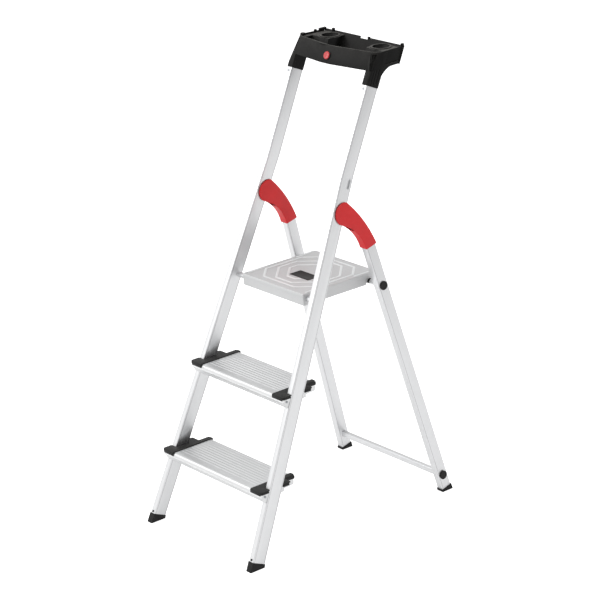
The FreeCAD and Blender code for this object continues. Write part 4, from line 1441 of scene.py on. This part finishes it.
    def leg(self) -> Object:
        """The right leg: socket block and the swept bracket behind it.

        Returns:
            The leg.
        """
        low, outer = STANCE.rail_top - 40, STANCE.stile_outer(STANCE.rail_top) + 0.4
        inner = outer - STANCE.stile_wide - 0.8
        edge = STANCE.stile_front(low) - 0.4
        leg = leaning("tray_leg", rectangle(inner, outer, edge, edge + STANCE.stile_deep + 0.8),
                      low,
                      self.deck, RAIL_UP)
        face, top = STANCE.stile_front(STANCE.rail_top), STANCE.rail_top
        below = [(face - 20, top + 20 * STANCE.stile_rake),
                 (face + 90, top - 90 * STANCE.stile_rake),
                 (face + 90, top - 160), (face - 20, top - 160)]
        carve(leg, side_on("below", below, 60, 260))
        sweep = arc_through(*self.bracket, 10)
        carve(leg, side_on("bracket", sweep + [(262, 1190.5), (262, 1196), (196, 1196),
                                               (172, 1150)], inner,
                           outer), add=True)
        for ahead in (11.0, 20.0, 29.0):
            place = STANCE.stile_front(1152) + ahead
            groove = leaning("groove", rectangle(outer - 0.9, outer + 4, place, place + 2.6), 1152,
                             self.deck - 8, RAIL_UP)
            carve(leg, groove)
        return eased(self.cornered(leg), 0.8, 3, 40)

    def spigot(self) -> Object:
        """The part of the right leg that stands inside the hollow stile.

        Returns:
            The spigot.
        """
        low = STANCE.rail_top - 70
        outer, front = STANCE.stile_outer(low) - 1.9, STANCE.stile_front(low) + 1.9
        corners = rectangle(outer - STANCE.stile_wide + 3.8, outer, front,
                            front + STANCE.stile_deep - 3.8)
        return eased(leaning("spigot", corners, low, STANCE.rail_top + 8, RAIL_UP), 0.5, 2)

    def peg(self, x0: float, x1: float, y0: float, y1: float, up: float) -> Object:
        """One small eased peg that stands on the rim."""
        return eased(block("peg", (x0, y0, self.top - 2), (x1, y1, self.top + up)), 1.0, 3)

    def badge(self) -> Object:
        """The plain domed disc on the tray's front.

        Returns:
            The disc.
        """
        height = self.top - self.badge_down
        face = metres(0, STANCE.stile_front(height) - self.bow, height)
        return eased(rod("tray_badge_look", face - STILE_NORMAL * 0.0006,
                         face + STILE_NORMAL * 0.0036, self.badge_radius, 64),
                     3.6, 8)

    def collar(self) -> Object:
        """The low black ring round the badge.

        Returns:
            The ring.
        """
        height = self.top - self.badge_down
        face = metres(0, STANCE.stile_front(height) - self.bow, height)
        ring = rod("collar", face - STILE_NORMAL * 0.001, face + STILE_NORMAL * 0.0014,
                   self.collar_radius, 64)
        carve(ring, rod("collar_bore", face - STILE_NORMAL * 0.002, face + STILE_NORMAL * 0.005,
                        self.collar_bore, 64))
        return eased(ring, 0.5, 3)

    def build(self, finishes: Finishes) -> None:
        """Model and dress the tray and the badge.

        Args:
            finishes: the stool's finishes.
        """
        leg, spigot = self.leg(), self.spigot()
        parts = [self.ring(1), self.ring(-1), leg, spigot, twin(leg, "leg_left"),
                 twin(spigot, "spigot_left"),
                 self.collar(), *(self.peg(*place) for place in self.peg_places)]
        tray = joined("tool_tray_look", self.tub(), *parts)
        dress(tray, Body.FRONT, "tool_tray", finishes.black)
        dress(self.badge(), Body.FRONT, "tray_badge", finishes.badge)


# ---------------------------------------------------------------- carried-over hardware
@dataclass
class Hardware:
    """Pins, rods, plates, spacers and rivets, which keep the frame's own shapes."""

    steel: tuple[str, ...] = ("step_screws", "tray_rivets", "hinge_rod", "crossbar_bolts",
                              "knuckle_rivets",
                              "pivot_pin", "pivot_bush", "rest_bolt", "link_plate")
    plastic: tuple[str, ...] = ("rest_bush",)

    def build(self, nodes: dict[str, Object], finishes: Finishes) -> None:
        """Give every carried-over node its finish.

        Args:
            nodes: the frame's nodes by name.
            finishes: the stool's finishes.
        """
        for name, obj in nodes.items():
            material = finishes.bar
            if name.startswith(self.steel):
                material = finishes.zinc
            elif name.startswith(self.plastic):
                material = finishes.cap
            obj.data.materials.clear()
            obj.data.materials.append(material)
            LOG.info("%s: %s", name, material.name)


# ---------------------------------------------------------------- studio
@dataclass
class Studio:
    """A pale floor, soft lights and the camera."""

    target: Triple = (0.0, 28.5, 577.9)
    distance: float = 6022.1
    azimuth: float = 50.59
    elevation: float = 19.99
    roll: float = -2.816
    lens: float = 138.6
    floor_tone: float = 0.78
    floor_glow: float = 0.55
    floor_fill: float = 0.25
    room_light: float = 0.42
    backdrop: float = 1.02
    # Each lamp's name, place, size and power.
    lamps: tuple[tuple[str, Triple, float, float], ...] = (
        ("key", (-2.2, -3.6, 3.2), 2.6, 60), ("side", (3.6, 1.2, 2.6), 1.8, 12),
        ("top", (0.0, 0.4, 4.2), 2.4, 30))
    # The soft boxes of the room: where each lies, how tight it is and how bright.
    boxes: tuple[tuple[Triple, float, float], ...] = (
        ((-0.72, -0.66, 0.21), 5.0, 0.8), ((-0.75, 0.58, 0.32), 4.0, 0.3),
        ((0.0, 0.0, 1.0), 2.0, 0.35))

    def floor(self) -> None:
        """Lay the pale floor."""
        bpy.ops.object.select_all(action="DESELECT")
        bpy.ops.mesh.primitive_plane_add(size=60)
        floor = bpy.context.object
        floor.name = "studio_floor"
        material = bpy.data.materials.new("Studio floor")
        material.use_nodes = True
        bench = NodeBench(material.node_tree)
        seen = bench.add("ShaderNodeLightPath").outputs["Is Camera Ray"]
        shader = bench.add("ShaderNodeBsdfPrincipled", {
            "Base Color": (*[self.floor_tone] * 3, 1), "Roughness": 0.95, "Specular IOR Level": 0.0,
            "Emission Color": (1, 1, 1, 1),
            "Emission Strength": bench.maths("MULTIPLY_ADD", seen, self.floor_glow,
                                             third=self.floor_fill)})
        bench.add("ShaderNodeOutputMaterial", {"Surface": shader.outputs[0]})
        floor.data.materials.append(material)

    def light(self, name: str, place: Triple, size: float, power: float) -> None:
        """Hang one soft square light that looks at the stool.

        Args:
            name: the piece's name.
            place: where it hangs.
            size: its width.
            power: its power.
        """
        data = bpy.data.lights.new(name, "AREA")
        data.energy = power
        data.size = size
        lamp = bpy.data.objects.new(name, data)
        bpy.context.scene.collection.objects.link(lamp)
        lamp.location = place
        lamp.rotation_euler = (
            Vector((0, 0, 0.6)) - lamp.location).to_track_quat("-Z", "Y").to_euler()

    def camera(self) -> None:
        """Set the camera on the climber's right."""
        azimuth, elevation, roll = (
            math.radians(angle) for angle in (self.azimuth, self.elevation, self.roll))
        target = metres(*self.target)
        away = Vector((math.sin(azimuth) * math.cos(elevation),
                       -math.cos(azimuth) * math.cos(elevation),
                       math.sin(elevation)))
        right = (-away).cross(Vector((0, 0, 1))).normalized()
        up = right.cross(-away)
        turned_right = right * math.cos(roll) + up * math.sin(roll)
        turned_up = up * math.cos(roll) - right * math.sin(roll)
        data = bpy.data.cameras.new("camera")
        data.lens = self.lens
        data.sensor_width = 36
        data.clip_end = 100
        camera = bpy.data.objects.new("camera", data)
        bpy.context.scene.collection.objects.link(camera)
        turn = Matrix((turned_right, turned_up, away)).transposed().to_4x4()
        camera.matrix_world = Matrix.Translation(target + away * self.distance * 0.001) @ turn
        bpy.context.scene.camera = camera

    def world(self) -> None:
        """Fill the room with pale light, brightest in its soft boxes, before a white backdrop."""
        world = bpy.data.worlds.new("Studio")
        world.use_nodes = True
        bench = NodeBench(world.node_tree)
        direction = bench.add("ShaderNodeTexCoord").outputs["Generated"]
        total: object = self.room_light
        for place, tightness, power in self.boxes:
            facing = bench.add("ShaderNodeVectorMath",
                               {0: direction, 1: Vector(place).normalized()},
                               operation="DOT_PRODUCT").outputs["Value"]
            lobe = bench.maths("POWER", bench.maths("MAXIMUM", facing, 0.0), tightness)
            total = bench.maths("ADD", total, bench.maths("MULTIPLY", lobe, power))
        seen = bench.add("ShaderNodeLightPath").outputs["Is Camera Ray"]
        strength = bench.maths("MAXIMUM", total, bench.maths("MULTIPLY", seen, self.backdrop))
        glow = bench.add("ShaderNodeBackground",
                         {"Color": (1.0, 1.0, 1.0, 1), "Strength": strength})
        bench.add("ShaderNodeOutputWorld", {"Surface": glow.outputs[0]})
        bpy.context.scene.world = world
        bpy.context.scene.view_settings.view_transform = "Standard"

    def build(self) -> None:
        """Set up the whole studio."""
        self.floor()
        for lamp in self.lamps:
            self.light(*lamp)
        self.camera()
        self.world()
        LOG.info("studio: floor, %d lamps and the camera", len(self.lamps))


def main() -> None:
    """Build the stool's looks in order."""
    logging.basicConfig(level=logging.INFO, format="%(name)s %(message)s")
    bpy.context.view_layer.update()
    finishes = Finishes()
    Hardware().build(frame["nodes"], finishes)
    Stiles().build(finishes)
    RearLegs().build(finishes)
    Feet().build(finishes)
    for which, tread in STEPS.items():
        Step(which, tread).build(finishes)
    Platform().build(finishes)
    Knuckles().build(finishes)
    ToolTray().build(finishes)
    Studio().build()


if __name__ == "__main__":
    main()
